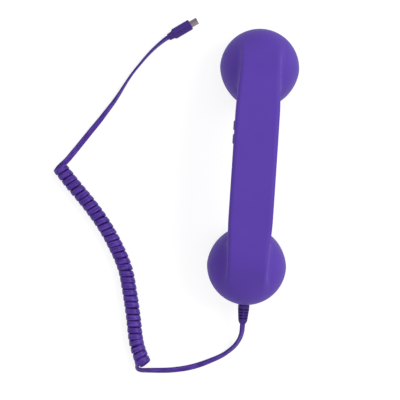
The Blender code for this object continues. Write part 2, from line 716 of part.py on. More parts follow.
def make_shells(soft_plastic):
    points, faces = handset_skin()
    skin = mesh_from_faces("rear_shell", points, faces)
    rear = add_mesh_object("rear_shell", skin, soft_plastic)
    front = add_mesh_object("front_shell", skin.copy(), None)

    boolean(rear, cover_cutter("cover_opening", 0.0), "DIFFERENCE")
    for end_name, end in (("ear", 1.0), ("mouth", -1.0)):
        boolean(rear, boss("cover_boss_" + end_name, end * COVER_SCREW_Y, TAB_TOP + GAP), "UNION")
        boolean(rear, boss("board_boss_" + end_name, BOARD_SCREWS_Y[end_name], BOARD_TOP + GAP), "UNION")
    for name, y in KEY_CENTRES_Y.items():
        outline = rounded_outline(KEY_LENGTH + 2 * GAP, KEY_HEIGHT + 2 * GAP, KEY_CORNER + GAP, 3)
        xs = (-HANDLE_WIDTH / 2 - CUT_MARGIN, -INNER_SIDE_X + CUT_MARGIN)
        ends = [[(x, y + u, KEY_Z + v) for u, v in outline] for x in xs]
        slot = helper_object("key_slot_" + name, lofted_mesh("key_slot_" + name, ends))
        boolean(rear, slot, "DIFFERENCE")
    exit_reach = WALL + 2 * CUT_MARGIN
    exit_mesh = cylinder_mesh("cord_exit", BOOT_ROOT_DIAMETER / 2 + GAP, -exit_reach, exit_reach, 20)
    cord_exit = helper_object("cord_exit", exit_mesh)
    cord_exit.matrix_world = boot_matrix()
    boolean(rear, cord_exit, "DIFFERENCE")

    boolean(front, cover_cutter("cover_body", GAP), "INTERSECT")
    half = COVER_LENGTH / 2 - GAP
    for end_name, end in (("ear", 1.0), ("mouth", -1.0)):
        low_y, high_y = half - TAB_ROOT, TAB_END_Y
        tab = block_mesh(
            "tab_" + end_name,
            (-TAB_WIDTH / 2, low_y, TAB_BOTTOM),
            (TAB_WIDTH / 2, high_y, TAB_TOP),
        )
        foot_low = arch_z(low_y, HANDLE_THICKNESS - WALL / 2)
        foot = block_mesh(
            "tab_foot_" + end_name,
            (-TAB_WIDTH / 2 + TAB_FOOT_INSET, low_y + TAB_FOOT_INSET, foot_low - TAB_FOOT_INSET),
            (TAB_WIDTH / 2 - TAB_FOOT_INSET, half - TAB_FOOT_INSET, TAB_TOP - TAB_FOOT_INSET),
        )
        for mesh in (tab, foot):
            piece = helper_object(mesh.name, mesh)
            piece.rotation_euler = (0.0, 0.0, 0.0 if end > 0 else math.pi)
            boolean(front, piece, "UNION")
        hole = helper_object(
            "tab_hole_" + end_name,
            cylinder_mesh("tab_hole_" + end_name, HOLE_RADIUS, TAB_BOTTOM - CUT_MARGIN, TAB_TOP + CUT_MARGIN),
        )
        hole.location = (0.0, end * COVER_SCREW_Y, 0.0)
        boolean(front, hole, "DIFFERENCE")
        fence_y = end * (BALLAST_LENGTH / 2 + GAP + FENCE_THICKNESS / 2)
        floor = arch_z(fence_y, FLOOR_DEPTH)
        fence = helper_object(
            "fence_" + end_name,
            block_mesh(
                "fence_" + end_name,
                (-BALLAST_WIDTH / 2, fence_y - FENCE_THICKNESS / 2, floor - WALL / 2),
                (BALLAST_WIDTH / 2, fence_y + FENCE_THICKNESS / 2, floor + FENCE_HEIGHT),
            ),
        )
        boolean(front, fence, "UNION")
    return rear, front


def ring_of_holes(pitch, rings):
    """Centres of a round pattern of holes: one in the middle, and each ring holds six more than the last."""
    centres = [(0.0, 0.0)]
    for ring in range(1, rings + 1):
        count = 6 * ring
        for k in range(count):
            turn = 2 * math.pi * k / count
            centres.append((pitch * ring * math.cos(turn), pitch * ring * math.sin(turn)))
    return centres


def sound_hole_cutter(name, diameter, pitch, rings, frame):
    form = bmesh.new()
    low = -CAP_HEIGHT - CUT_MARGIN
    high = CAP_FLOOR_TOP + CUT_MARGIN
    for x, y in ring_of_holes(pitch, rings):
        lower = []
        upper = []
        for k in range(HOLE_SEGMENTS):
            turn = 2 * math.pi * k / HOLE_SEGMENTS
            spot = (x + diameter / 2 * math.cos(turn), y + diameter / 2 * math.sin(turn))
            lower.append(form.verts.new((*spot, low)))
            upper.append(form.verts.new((*spot, high)))
        for k in range(HOLE_SEGMENTS):
            n = (k + 1) % HOLE_SEGMENTS
            form.faces.new((lower[k], lower[n], upper[n], upper[k]))
        form.faces.new(lower[::-1])
        form.faces.new(upper)
    mesh = bpy.data.meshes.new(name)
    form.to_mesh(mesh)
    form.free()
    return helper_object(name, mesh, frame)


def make_cap(name, frame, seat_radius, seat_height, holes, material):
    """A turned cap: rounded edge, dished face, skirt that plugs into the bell, and a seat for its insert."""
    skirt_outer = BORE_RADIUS - GAP
    skirt_inner = skirt_outer - CAP_SKIRT
    profile = cap_outer_profile()
    profile.append((0.0, CAP_FLOOR_TOP))
    profile.append((seat_radius, CAP_FLOOR_TOP))
    profile.append((seat_radius, seat_height))
    profile.append((seat_radius + SEAT_RING_WALL, seat_height))
    profile.append((seat_radius + SEAT_RING_WALL, CAP_FLOOR_TOP))
    profile.append((skirt_inner, CAP_FLOOR_TOP))
    profile.append((skirt_inner, CAP_SKIRT_HEIGHT))
    profile.append((skirt_outer, CAP_SKIRT_HEIGHT))
    profile.append((skirt_outer, -GAP))
    mesh = turned_mesh(name, profile, CAP_SEGMENTS, phase=0.5)
    cap = add_mesh_object(name, mesh, material)
    cap.parent = frame
    boolean(cap, sound_hole_cutter(name + "_holes", *holes, frame), "DIFFERENCE")
    return cap


def turned_object(name, profile, segments, frame, material):
    item = add_mesh_object(name, turned_mesh(name, profile, segments), material)
    item.parent = frame
    return item


def make_speaker(frame, metal, foam, film, dark):
    radius = SPEAKER_DIAMETER / 2
    gasket_low = CAP_FLOOR_TOP + GAP
    gasket_high = gasket_low + GASKET_THICKNESS
    inner = radius - SPEAKER_LIP
    turned_object(
        "ear_gasket",
        [(inner, gasket_low), (radius, gasket_low), (radius, gasket_high), (inner, gasket_high)],
        TURNED_SEGMENTS,
        frame,
        foam,
    )
    low = gasket_high + GAP
    flange = low + SPEAKER_FLANGE
    top = low + SPEAKER_DEPTH
    wall = SPEAKER_WALL
    neck = MAGNET_DIAMETER / 2
    turned_object(
        "speaker_frame",
        [
            (inner, low),
            (radius, low),
            (radius, flange),
            (inner + wall, flange),
            (neck + wall, top),
            (0.0, top),
            (0.0, top - wall),
            (neck, top - wall),
            (inner, flange - wall / 3),
        ],
        TURNED_SEGMENTS,
        frame,
        metal,
    )
    edge = inner - GAP
    middle = low + DIAPHRAGM_RISE
    turned_object(
        "speaker_diaphragm",
        [
            (0.0, middle),
            (edge * 0.55, middle),
            (edge, low),
            (edge, low + DIAPHRAGM_THICKNESS),
            (edge * 0.55, middle + DIAPHRAGM_THICKNESS),
            (0.0, middle + DIAPHRAGM_THICKNESS),
        ],
        TURNED_SEGMENTS,
        frame,
        film,
    )
    magnet_low = top + GAP
    magnet_high = magnet_low + MAGNET_HEIGHT
    chamfer = MAGNET_CHAMFER
    turned_object(
        "speaker_magnet",
        [
            (0.0, magnet_low),
            (neck - chamfer, magnet_low),
            (neck, magnet_low + chamfer),
            (neck, magnet_high - chamfer),
            (neck - chamfer, magnet_high),
            (0.0, magnet_high),
        ],
        TURNED_SEGMENTS,
        frame,
        dark,
    )
    return magnet_high


def make_microphone(frame, rubber, metal):
    boot_inner = MIC_DIAMETER / 2 + GAP
    boot_outer = boot_inner + MIC_BOOT_WALL
    low = CAP_FLOOR_TOP + GAP
    lip = low + MIC_BOOT_WALL
    mic_low = lip + GAP
    mic_high = mic_low + MIC_HEIGHT
    opening = MIC_DIAMETER / 4
    turned_object(
        "mic_boot",
        [
            (opening, low),
            (boot_outer, low),
            (boot_outer, mic_high - MIC_BOOT_SHORTER),
            (boot_inner, mic_high - MIC_BOOT_SHORTER),
            (boot_inner, lip),
            (opening, lip),
        ],
        TURNED_SEGMENTS,
        frame,
        rubber,
    )
    radius = MIC_DIAMETER / 2
    turned_object(
        "mic_capsule",
        [
            (0.0, mic_low),
            (radius - MIC_CHAMFER, mic_low),
            (radius, mic_low + MIC_CHAMFER),
            (radius, mic_high - MIC_CHAMFER),
            (radius - MIC_CHAMFER, mic_high),
            (0.0, mic_high),
        ],
        TURNED_SEGMENTS,
        frame,
        metal,
    )
    return mic_high


def make_screw(name, y, under, material):
    """A pan-head screw, head down: under is the height of the face that its head clamps."""
    head_top = under - GAP
    head_low = head_top - SCREW_HEAD_HEIGHT
    shank = SCREW_SHANK / 2
    head = SCREW_HEAD / 2
    tip = head_top + SCREW_BITE
    profile = [
        (0.0, head_low + SCREW_RECESS / 2),
        (SCREW_RECESS / 2, head_low + SCREW_RECESS / 2),
        (SCREW_RECESS / 2, head_low),
        (head * 0.8, head_low),
        (head, head_low + SCREW_HEAD_HEIGHT * 0.45),
        (head, head_top),
        (shank, head_top),
        (shank, tip - shank),
        (shank * 0.45, tip),
        (0.0, tip),
    ]
    screw = add_mesh_object(name, turned_mesh(name, profile, SCREW_SEGMENTS), material)
    screw.location = (0.0, y, 0.0)
    return screw


def make_board(board_green, chip_black, connector_white, steel):
    mesh = block_mesh(
        "circuit_board",
        (-BOARD_WIDTH / 2, BOARD_EAR_END_Y - BOARD_LENGTH, BOARD_BOTTOM),
        (BOARD_WIDTH / 2, BOARD_EAR_END_Y, BOARD_TOP),
    )
    board = add_mesh_object("circuit_board", mesh, board_green)
    for end_name, y in BOARD_SCREWS_Y.items():
        name = "board_hole_" + end_name
        low, high = BOARD_BOTTOM - CUT_MARGIN, BOARD_TOP + CUT_MARGIN
        hole = helper_object(name, cylinder_mesh(name, HOLE_RADIUS, low, high))
        hole.location = (0.0, y, 0.0)
        boolean(board, hole, "DIFFERENCE")
        make_screw("board_screw_" + end_name, y, BOARD_BOTTOM, steel)
    half = CHIP_SIZE / 2
    chip_y = BOARD_SCREWS_Y["ear"] + BOSS_DIAMETER / 2 + 2 * GAP + half
    chip = block_mesh(
        "controller_chip",
        (-half, chip_y - half, BOARD_TOP + GAP),
        (half, chip_y + half, BOARD_TOP + GAP + CHIP_HEIGHT),
        MOULDED_EDGE,
    )
    add_mesh_object("controller_chip", chip, chip_black)
    connector = block_mesh(
        "wire_connector",
        (-CONNECTOR_WIDTH / 2, CONNECTOR_FACE_Y, BOARD_TOP + GAP),
        (CONNECTOR_WIDTH / 2, CONNECTOR_FACE_Y + CONNECTOR_LENGTH, BOARD_TOP + GAP + CONNECTOR_HEIGHT),
        MOULDED_EDGE,
    )
    add_mesh_object("wire_connector", connector, connector_white)


def make_switch(name, y, chip_black, steel):
    """A side-pressed switch: a frame on the board's edge, with the plunger in its cavity."""
    back = SWITCH_FRONT_X + SWITCH_DEPTH
    mesh = block_mesh(
        name + "_switch_frame",
        (SWITCH_FRONT_X, y - SWITCH_LENGTH / 2, KEY_Z - SWITCH_HEIGHT / 2),
        (back, y + SWITCH_LENGTH / 2, KEY_Z + SWITCH_HEIGHT / 2),
    )
    frame = add_mesh_object(name + "_switch_frame", mesh, steel)
    half_y = PLUNGER_WIDTH / 2 + PLUNGER_CLEARANCE
    half_z = PLUNGER_HEIGHT / 2 + PLUNGER_CLEARANCE
    cavity = helper_object(
        name + "_switch_cavity",
        block_mesh(
            name + "_switch_cavity",
            (SWITCH_FRONT_X - CUT_MARGIN, y - half_y, KEY_Z - half_z),
            (SWITCH_FRONT_X + SWITCH_CAVITY, y + half_y, KEY_Z + half_z),
        ),
    )
    boolean(frame, cavity, "DIFFERENCE")
    start = SWITCH_FRONT_X - PLUNGER_PROUD
    plunger = block_mesh(
        name + "_switch_plunger",
        (0.0, -PLUNGER_WIDTH / 2, -PLUNGER_HEIGHT / 2),
        (PLUNGER_LENGTH, PLUNGER_WIDTH / 2, PLUNGER_HEIGHT / 2),
        MOULDED_EDGE,
    )
    item = add_mesh_object(name + "_switch_plunger", plunger, chip_black)
    item.location = (start, y, KEY_Z)


def make_key(name, y, material):
    """A side key: a rounded face in its slot, a flange behind the wall, and a stem to the switch."""
    face = -HANDLE_WIDTH / 2 - KEY_PROUD
    flange_out = -INNER_SIDE_X + GAP
    flange_in = flange_out + KEY_FLANGE_THICKNESS
    sections = []
    for x, grow in (
        (face, -KEY_EDGE_ROUND),
        (face + KEY_EDGE_ROUND * 0.35, -KEY_EDGE_ROUND * 0.3),
        (face + KEY_EDGE_ROUND, 0.0),
        (flange_out, 0.0),
        (flange_out, KEY_FLANGE),
        (flange_in, KEY_FLANGE),
    ):
        outline = rounded_outline(KEY_LENGTH + 2 * grow, KEY_HEIGHT + 2 * grow, KEY_CORNER + grow, 3)
        sections.append([(x - face, u, v) for u, v in outline])
    stem = rounded_outline(KEY_STEM, KEY_STEM, KEY_STEM * 0.35, 3)
    sections.append([(flange_in - face, u, v) for u, v in stem])
    sections.append([(STEM_END_X - face, u, v) for u, v in stem])
    key_name = "volume_" + name + "_key"
    key = add_mesh_object(key_name, lofted_mesh(key_name, sections), material)
    key.location = (face, y, KEY_Z)


def make_ballast(steel):
    bottom = arch_z(0.0, FLOOR_DEPTH) + GAP
    mesh = block_mesh(
        "ballast_bar",
        (-BALLAST_WIDTH / 2, -BALLAST_LENGTH / 2, bottom),
        (BALLAST_WIDTH / 2, BALLAST_LENGTH / 2, bottom + BALLAST_THICKNESS),
        BALLAST_CHAMFER,
    )
    add_mesh_object("ballast_bar", mesh, steel)


def smooth_route(points, samples):
    """Evenly numbered points on a smooth curve through the route's own points."""
    route = [Vector(point) for point in points]
    route = [route[0] * 2 - route[1]] + route + [route[-1] * 2 - route[-2]]
    pieces = len(points) - 1
    curve = []
    for k in range(samples):
        place = pieces * k / (samples - 1)
        index = min(int(place), pieces - 1)
        t = place - index
        p0, p1, p2, p3 = route[index : index + 4]
        curve.append(
            0.5
            * (
                2 * p1
                + (p2 - p0) * t
                + (2 * p0 - 5 * p1 + 4 * p2 - p3) * t**2
                + (3 * p1 - p0 - 3 * p2 + p3) * t**3
            )
        )
    return curve


def tube_object(name, points, diameter, material, resolution=2):
    curve = bpy.data.curves.new(name, "CURVE")
    curve.dimensions = "3D"
    curve.bevel_depth = diameter / 2
    curve.bevel_resolution = resolution
    curve.use_fill_caps = True
    spline = curve.splines.new("POLY")
    spline.points.add(len(points) - 1)
    for slot, point in zip(spline.points, points):
        slot.co = (*point, 1.0)
    curve.materials.append(material)
    item = bpy.data.objects.new(name, curve)
    bpy.context.scene.collection.objects.link(item)
    return item


def boot_matrix():
    """The strain relief's place: Z runs out along its axis, from where the bell's outline ends."""
    side = Vector((1.0, 0.0, 0.0))
    up = EXIT_AXIS.cross(side)
    turn = Matrix((side, up, EXIT_AXIS)).transposed().to_4x4()
    return Matrix.Translation(EXIT_POINT) @ turn


BOOT_GROOVED = BOOT_GROOVES * BOOT_GROOVE_PITCH
BOOT_LENGTH = BOOT_COLLAR + BOOT_GROOVED + BOOT_CONE
WALL_BULGE = BELL_RADIUS - math.sqrt(BELL_RADIUS**2 - (BOOT_FLANGE_DIAMETER / 2) ** 2)
BOOT_FLANGE_OUT = -(WALL + WALL_BULGE + BOOT_FLANGE_PLAY)
BOOT_START = BOOT_FLANGE_OUT - BOOT_FLANGE_THICKNESS


def boot_sections():
    """(place along the axis, radius, groove depth) down the strain relief."""
    root = BOOT_ROOT_DIAMETER / 2
    tip = BOOT_TIP_DIAMETER / 2
    sections = [
        (BOOT_START, BOOT_FLANGE_DIAMETER / 2, 0.0),
        (BOOT_FLANGE_OUT, BOOT_FLANGE_DIAMETER / 2, 0.0),
        (BOOT_FLANGE_OUT, root, 0.0),
        (BOOT_COLLAR, root, 0.0),
    ]
    for groove in range(BOOT_GROOVES):
        for share, depth in ((0.06, 1.0), (0.38, 1.0), (0.46, 0.0), (1.0, 0.0)):
            place = (groove + share) / BOOT_GROOVES
            radius = root + (tip - root) * place
            sections.append((BOOT_COLLAR + BOOT_GROOVED * place, radius, depth * BOOT_GROOVE_DEPTH))
    sections.append((BOOT_LENGTH, BOOT_END_DIAMETER / 2, 0.0))
    return sections


def make_strain_relief(material):
    segments = 16
    outlines = []
    for place, radius, groove in boot_sections():
        outline = []
        for k in range(segments):
            turn = 2 * math.pi * k / segments
            from_rib = math.atan2(abs(math.cos(turn)), abs(math.sin(turn)))
            from_rail = math.pi / 2 - from_rib
            depth = groove if from_rib > BOOT_RIB_ANGLE and from_rail > BOOT_RAIL_ANGLE else 0.0
            outline.append(
                ((radius - depth) * math.cos(turn), (radius - depth) * math.sin(turn), place)
            )
        outlines.append(outline)
    item = add_mesh_object("strain_relief", lofted_mesh("strain_relief", outlines), material)
    item.matrix_world = boot_matrix()


def plug_frame():
    """An empty at the start of the plug's neck: X along the plug, Y across its width, rolled about X."""
    frame = bpy.data.objects.new("plug_frame", None)
    bpy.context.scene.collection.objects.link(frame)
    heading = Matrix.Rotation(PLUG_HEADING, 4, "Z")
    roll = Matrix.Rotation(PLUG_TURN, 4, "X")
    frame.matrix_world = Matrix.Translation((*PLUG_START, PLUG_AXIS_HEIGHT)) @ heading @ roll
    return frame


def make_plug(frame, overmould, steel, insulator):
    shoulder = PLUG_NECK_LENGTH
    length = PLUG_NECK_LENGTH + PLUG_LENGTH
    edge = PLUG_EDGE
    neck_width, neck_thickness, neck_corner = PLUG_NECK_WIDTH, PLUG_NECK_THICKNESS, PLUG_NECK_CORNER
    outlines = []
    for x, width, thickness, corner in (
        (0.0, neck_width - edge, neck_thickness - edge, neck_corner - edge / 2),
        (edge, neck_width, neck_thickness, neck_corner),
        (shoulder * 0.72, neck_width * 1.08, neck_thickness * 1.06, neck_corner),
        (shoulder + PLUG_SHOULDER, PLUG_WIDTH, PLUG_THICKNESS, PLUG_CORNER),
        (length - edge, PLUG_WIDTH, PLUG_THICKNESS, PLUG_CORNER),
        (length, PLUG_WIDTH - 2 * edge, PLUG_THICKNESS - 2 * edge, PLUG_CORNER - edge),
    ):
        outline = rounded_outline(width, thickness, corner, 4)
        outlines.append([(x, u, v) for u, v in outline])
    body = add_mesh_object("plug_body", lofted_mesh("plug_body", outlines), overmould)
    body.parent = frame
    grow = 2 * GAP
    back = length - PLUG_POCKET_DEPTH
    ends = []
    for x in (back, length + CUT_MARGIN):
        outline = rounded_outline(PLUG_SHELL_WIDTH + grow, PLUG_SHELL_THICKNESS + grow, GAP, 2)
        ends.append([(x, u, v) for u, v in outline])
    pocket = helper_object("plug_pocket", lofted_mesh("plug_pocket", ends), frame)
    boolean(body, pocket, "DIFFERENCE")

    start = back + GAP
    tip = length + PLUG_SHELL_SHOWING
    half_w, half_t, corner = PLUG_SHELL_WIDTH / 2, PLUG_SHELL_THICKNESS / 2, PLUG_SHELL_CORNER
    shell_outline = [
        (corner - half_w, -half_t),
        (half_w - corner, -half_t),
        (half_w, corner - half_t),
        (half_w, half_t),
        (-half_w, half_t),
        (-half_w, corner - half_t),
    ]
    shell = add_mesh_object(
        "plug_shell",
        lofted_mesh("plug_shell", [[(x, u, v) for u, v in shell_outline] for x in (start, tip)]),
        steel,
    )
    shell.parent = frame
    inner_scale_u = 1.0 - 2 * PLUG_SHELL_WALL / PLUG_SHELL_WIDTH
    inner_scale_v = 1.0 - 2 * PLUG_SHELL_WALL / PLUG_SHELL_THICKNESS
    inner = [(u * inner_scale_u, v * inner_scale_v) for u, v in shell_outline]
    mouth = helper_object(
        "plug_mouth",
        lofted_mesh(
            "plug_mouth", [[(x, u, v) for u, v in inner] for x in (start + PLUG_SHELL_WALL, tip + CUT_MARGIN)]
        ),
        frame,
    )
    boolean(shell, mouth, "DIFFERENCE")
    half_width = PLUG_TONGUE_WIDTH / 2
    tongue = add_mesh_object(
        "plug_tongue",
        block_mesh(
            "plug_tongue",
            (start + PLUG_SHELL_WALL + GAP, -half_width, -PLUG_TONGUE_THICKNESS / 2),
            (tip - PLUG_TONGUE_INSET, half_width, PLUG_TONGUE_THICKNESS / 2),
        ),
        insulator,
    )
    tongue.parent = frame


def make_free_cord(material):
    coil_points = [(x, y, COIL_DIAMETER / 2 + 0.0001) for x, y in COIL_ROUTE]
    coil = smooth_route(coil_points, 22)
    tube_object("cord_coil", coil, COIL_DIAMETER, material, 3)
    top_face = coil[0] + (coil[0] - coil[1]).normalized() * GAP
    bottom_face = coil[-1] + (coil[-1] - coil[-2]).normalized() * GAP
    boot_end = EXIT_POINT + EXIT_AXIS * (BOOT_LENGTH + GAP)
    bottom_face.z = LEAD_HANDSET_ROUTE[-1][2] + 0.0001
    top_face.z = LEAD_PLUG_ROUTE[0][2] + 0.0001
    lead = [tuple(boot_end)] + LEAD_HANDSET_ROUTE + [tuple(bottom_face)]
    tube_object("cord_lead_handset", smooth_route(lead, 30), CORD_TUBE_DIAMETER, material)
    along = Vector((math.cos(PLUG_HEADING), math.sin(PLUG_HEADING), 0.0))
    neck = Vector((*PLUG_START, PLUG_AXIS_HEIGHT)) - along * GAP
    before_neck = neck - along * 0.003
    lead = [tuple(top_face)] + LEAD_PLUG_ROUTE + [tuple(before_neck), tuple(neck)]
    tube_object("cord_lead_plug", smooth_route(lead, 34), CORD_TUBE_DIAMETER, material)


def make_inner_wires(ear, mouth, magnet_top, mic_top, wire_grey, cord_purple):
    """The wires inside, each from its terminal to the board, past the bosses in the handle's ends."""
    wire = WIRE_DIAMETER
    lane = BOSS_DIAMETER / 2 + TAB_WIDTH / 2 - 0.0010
    level = BOARD_TOP + GAP + wire / 2

    rise = TAB_TOP - SEAM_Z

    magnet_back = ear.matrix_world @ Vector((0.0, 0.0, magnet_top + GAP))
    ear_axis = (ear.matrix_world.to_3x3() @ Vector((0.0, 0.0, 1.0))).normalized()
    speaker_route = [
        magnet_back,
        magnet_back + ear_axis * 0.004,
        magnet_back + ear_axis * (0.42 * rise) + Vector((lane * 0.6, -wire, 0.0)),
        Vector((lane, COVER_SCREW_Y + 0.004, TAB_TOP + 0.004)),
        Vector((lane, COVER_SCREW_Y - 0.008, level - 0.001)),
        Vector((lane * 0.8, BOARD_EAR_END_Y + 0.004, level)),
        Vector((lane * 0.7, BOARD_EAR_END_Y - 0.004, level)),
    ]
    tube_object("speaker_wire", smooth_route(speaker_route, 20), wire, wire_grey, 1)

    mic_back = mouth.matrix_world @ Vector((0.0, 0.0, mic_top + GAP))
    mouth_axis = (mouth.matrix_world.to_3x3() @ Vector((0.0, 0.0, 1.0))).normalized()
    mic_route = [
        mic_back,
        mic_back + mouth_axis * 0.004,
        mic_back + mouth_axis * (0.47 * rise) + Vector((-lane * 0.6, wire, 0.0)),
        Vector((-lane, -COVER_SCREW_Y - 0.004, TAB_TOP + 0.004)),
        Vector((-lane, -COVER_SCREW_Y + 0.008, level - 0.001)),
        Vector((-CONNECTOR_WIDTH / 4, CONNECTOR_FACE_Y - 0.0050, level)),
        Vector((-CONNECTOR_WIDTH / 4, CONNECTOR_FACE_Y - 0.0020, level)),
        Vector((-CONNECTOR_WIDTH / 4, CONNECTOR_FACE_Y - GAP, level)),
    ]
    tube_object("mic_wire", smooth_route(mic_route, 20), wire, wire_grey, 1)

    core = CORE_DIAMETER
    core_start = EXIT_POINT + EXIT_AXIS * (BOOT_START - GAP)
    core_level = BOARD_TOP + GAP + core / 2
    core_route = [
        core_start,
        core_start - EXIT_AXIS * 0.006,
        Vector((core * 1.5, -SEAM_Y - BELL_RADIUS * 0.41, SEAM_Z + rise * 0.42)),
        Vector((lane, -SEAM_Y + core * 1.5, SEAM_Z + rise * 0.76)),
        Vector((lane + 0.001, -COVER_SCREW_Y - 0.003, TAB_TOP + 0.003)),
        Vector((lane + 0.001, -COVER_SCREW_Y + 0.008, core_level - 0.001)),
        Vector((lane * 0.6, CONNECTOR_FACE_Y - 0.0070, core_level)),
        Vector((CONNECTOR_WIDTH / 5, CONNECTOR_FACE_Y - 0.0022, core_level)),
        Vector((CONNECTOR_WIDTH / 5, CONNECTOR_FACE_Y - GAP, core_level)),
    ]
    tube_object("cord_core", smooth_route(core_route, 24), core, cord_purple, 1)


def main():
    clear_scene()
    soft_plastic = finish_material("soft_touch_purple", (0.105, 0.047, 0.363), 0.55)
    key_plastic = finish_material("key_purple", (0.060, 0.036, 0.150), 0.5)
    cord_purple = finish_material("cord_purple", (0.080, 0.030, 0.280), 0.5)
    board_green = finish_material("board_green", (0.02, 0.16, 0.06), 0.45)
    chip_black = finish_material("chip_black", (0.02, 0.02, 0.02), 0.5)
    connector_white = finish_material("connector_white", (0.75, 0.73, 0.66), 0.5)
    steel = finish_material("zinc_plated_steel", (0.55, 0.55, 0.55), 0.35, 1.0)
    plug_steel = finish_material("plug_nickel", (0.33, 0.28, 0.29), 0.35, 1.0)
    foam = finish_material("foam_black", (0.03, 0.03, 0.03), 0.95)
    film = finish_material("diaphragm_film", (0.60, 0.55, 0.40), 0.3)
    magnet_dark = finish_material("magnet_dark", (0.10, 0.10, 0.11), 0.4, 1.0)
    mic_rubber = finish_material("mic_rubber", (0.03, 0.03, 0.03), 0.8)
    wire_grey = finish_material("wire_grey", (0.25, 0.25, 0.27), 0.5)

    ear = cap_frame(1.0)
    mouth = cap_frame(-1.0)
    make_shells(soft_plastic)
    ear_seat = SPEAKER_DIAMETER / 2 + GAP
    mouth_seat = MIC_DIAMETER / 2 + 2 * GAP + MIC_BOOT_WALL
    ear_seat_height = CAP_FLOOR_TOP + 2 * GAP + GASKET_THICKNESS + SPEAKER_FLANGE
    mouth_seat_height = CAP_FLOOR_TOP + MIC_HEIGHT
    ear_holes = (EAR_HOLE_DIAMETER, EAR_HOLE_PITCH, EAR_HOLE_RINGS)
    mouth_holes = (MOUTH_HOLE_DIAMETER, MOUTH_HOLE_PITCH, MOUTH_HOLE_RINGS)
    make_cap("ear_cap", ear, ear_seat, ear_seat_height, ear_holes, soft_plastic)
    make_cap("mouth_cap", mouth, mouth_seat, mouth_seat_height, mouth_holes, soft_plastic)
    magnet_top = make_speaker(ear, steel, foam, film, magnet_dark)
    mic_top = make_microphone(mouth, mic_rubber, steel)
    make_board(board_green, chip_black, connector_white, steel)
    for name, y in KEY_CENTRES_Y.items():
        make_switch(name, y, chip_black, steel)
        make_key(name, y, key_plastic)
    make_ballast(steel)
    for end_name, end in (("ear", 1.0), ("mouth", -1.0)):
        make_screw("cover_screw_" + end_name, end * COVER_SCREW_Y, TAB_BOTTOM, steel)
    make_strain_relief(cord_purple)
    plug = plug_frame()
    make_plug(plug, cord_purple, plug_steel, chip_black)
    make_free_cord(cord_purple)
    bpy.context.view_layer.update()
    make_inner_wires(ear, mouth, magnet_top, mic_top, wire_grey, cord_purple)


main()
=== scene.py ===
# %% [markdown]
# # A telephone handset with a curly cord
# The photograph shows the handset from straight above, lying on its ear and mouth caps, with its cord laid
# out on a white surface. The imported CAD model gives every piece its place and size. This script gives the
# pieces their fine shapes and finishes. Everything is in metres: +Z is up, the ear end is at +Y, and the
# two volume keys face -X.

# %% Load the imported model
import math

import bmesh
import bpy
import numpy as np
from mathutils import Matrix, Vector


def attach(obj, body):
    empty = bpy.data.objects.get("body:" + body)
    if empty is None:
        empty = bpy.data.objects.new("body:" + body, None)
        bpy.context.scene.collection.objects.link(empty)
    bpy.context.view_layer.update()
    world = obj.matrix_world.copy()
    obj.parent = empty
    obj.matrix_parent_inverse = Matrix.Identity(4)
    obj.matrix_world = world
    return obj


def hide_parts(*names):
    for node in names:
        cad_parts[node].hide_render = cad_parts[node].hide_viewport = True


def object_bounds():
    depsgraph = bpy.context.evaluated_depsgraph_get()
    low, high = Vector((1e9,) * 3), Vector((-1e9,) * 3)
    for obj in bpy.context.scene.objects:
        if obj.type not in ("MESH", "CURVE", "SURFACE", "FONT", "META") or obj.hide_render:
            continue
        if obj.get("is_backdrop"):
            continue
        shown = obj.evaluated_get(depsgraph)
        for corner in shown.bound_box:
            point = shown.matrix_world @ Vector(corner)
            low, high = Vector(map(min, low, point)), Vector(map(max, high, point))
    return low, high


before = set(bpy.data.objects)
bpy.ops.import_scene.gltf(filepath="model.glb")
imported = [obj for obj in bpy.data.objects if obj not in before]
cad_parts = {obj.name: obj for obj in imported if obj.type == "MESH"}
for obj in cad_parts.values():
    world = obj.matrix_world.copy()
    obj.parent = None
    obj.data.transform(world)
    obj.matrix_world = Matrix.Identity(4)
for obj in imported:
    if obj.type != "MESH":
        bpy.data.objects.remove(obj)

cad_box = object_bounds()
print("CAD box, in mm:", [[round(v * 1000, 1) for v in corner] for corner in cad_box])

# %% [markdown]
# A few helpers serve the whole lesson. One turns a colour as a painter writes it, in sRGB hex, into the
# linear numbers that Blender's nodes use. One puts data into the scene as an object. The others empty a
# node tree, add one node to it with its settings and links, and run formulas as Math nodes, one formula a
# line, so that a long one stays readable.

# %% Helpers for colours, objects and nodes
def linear(hex_colour):
    channels = [int(hex_colour[k : k + 2], 16) / 255 for k in (1, 3, 5)]
    return (*[c / 12.92 if c <= 0.04045 else ((c + 0.055) / 1.055) ** 2.4 for c in channels], 1.0)


def new_object(name, data):
    """An object in the scene that holds this data."""
    holder = bpy.data.objects.new(name, data)
    bpy.context.scene.collection.objects.link(holder)
    return holder


def empty_tree(owner):
    """The node tree of a material or world, switched on and emptied."""
    owner.use_nodes = True
    owner.node_tree.nodes.clear()
    return owner.node_tree


def add_node(tree, kind, links=None, **settings):
    """Adds a node. links maps its sockets, by name or number, to values, other nodes or their outputs."""
    node = tree.nodes.new(kind)
    for name, value in settings.items():
        setattr(node, name, value)
    for socket, value in (links or {}).items():
        if isinstance(value, bpy.types.Node):
            value = value.outputs[0]
        if isinstance(value, bpy.types.NodeSocket):
            tree.links.new(value, node.inputs[socket])
        else:
            node.inputs[socket].default_value = value
    return node


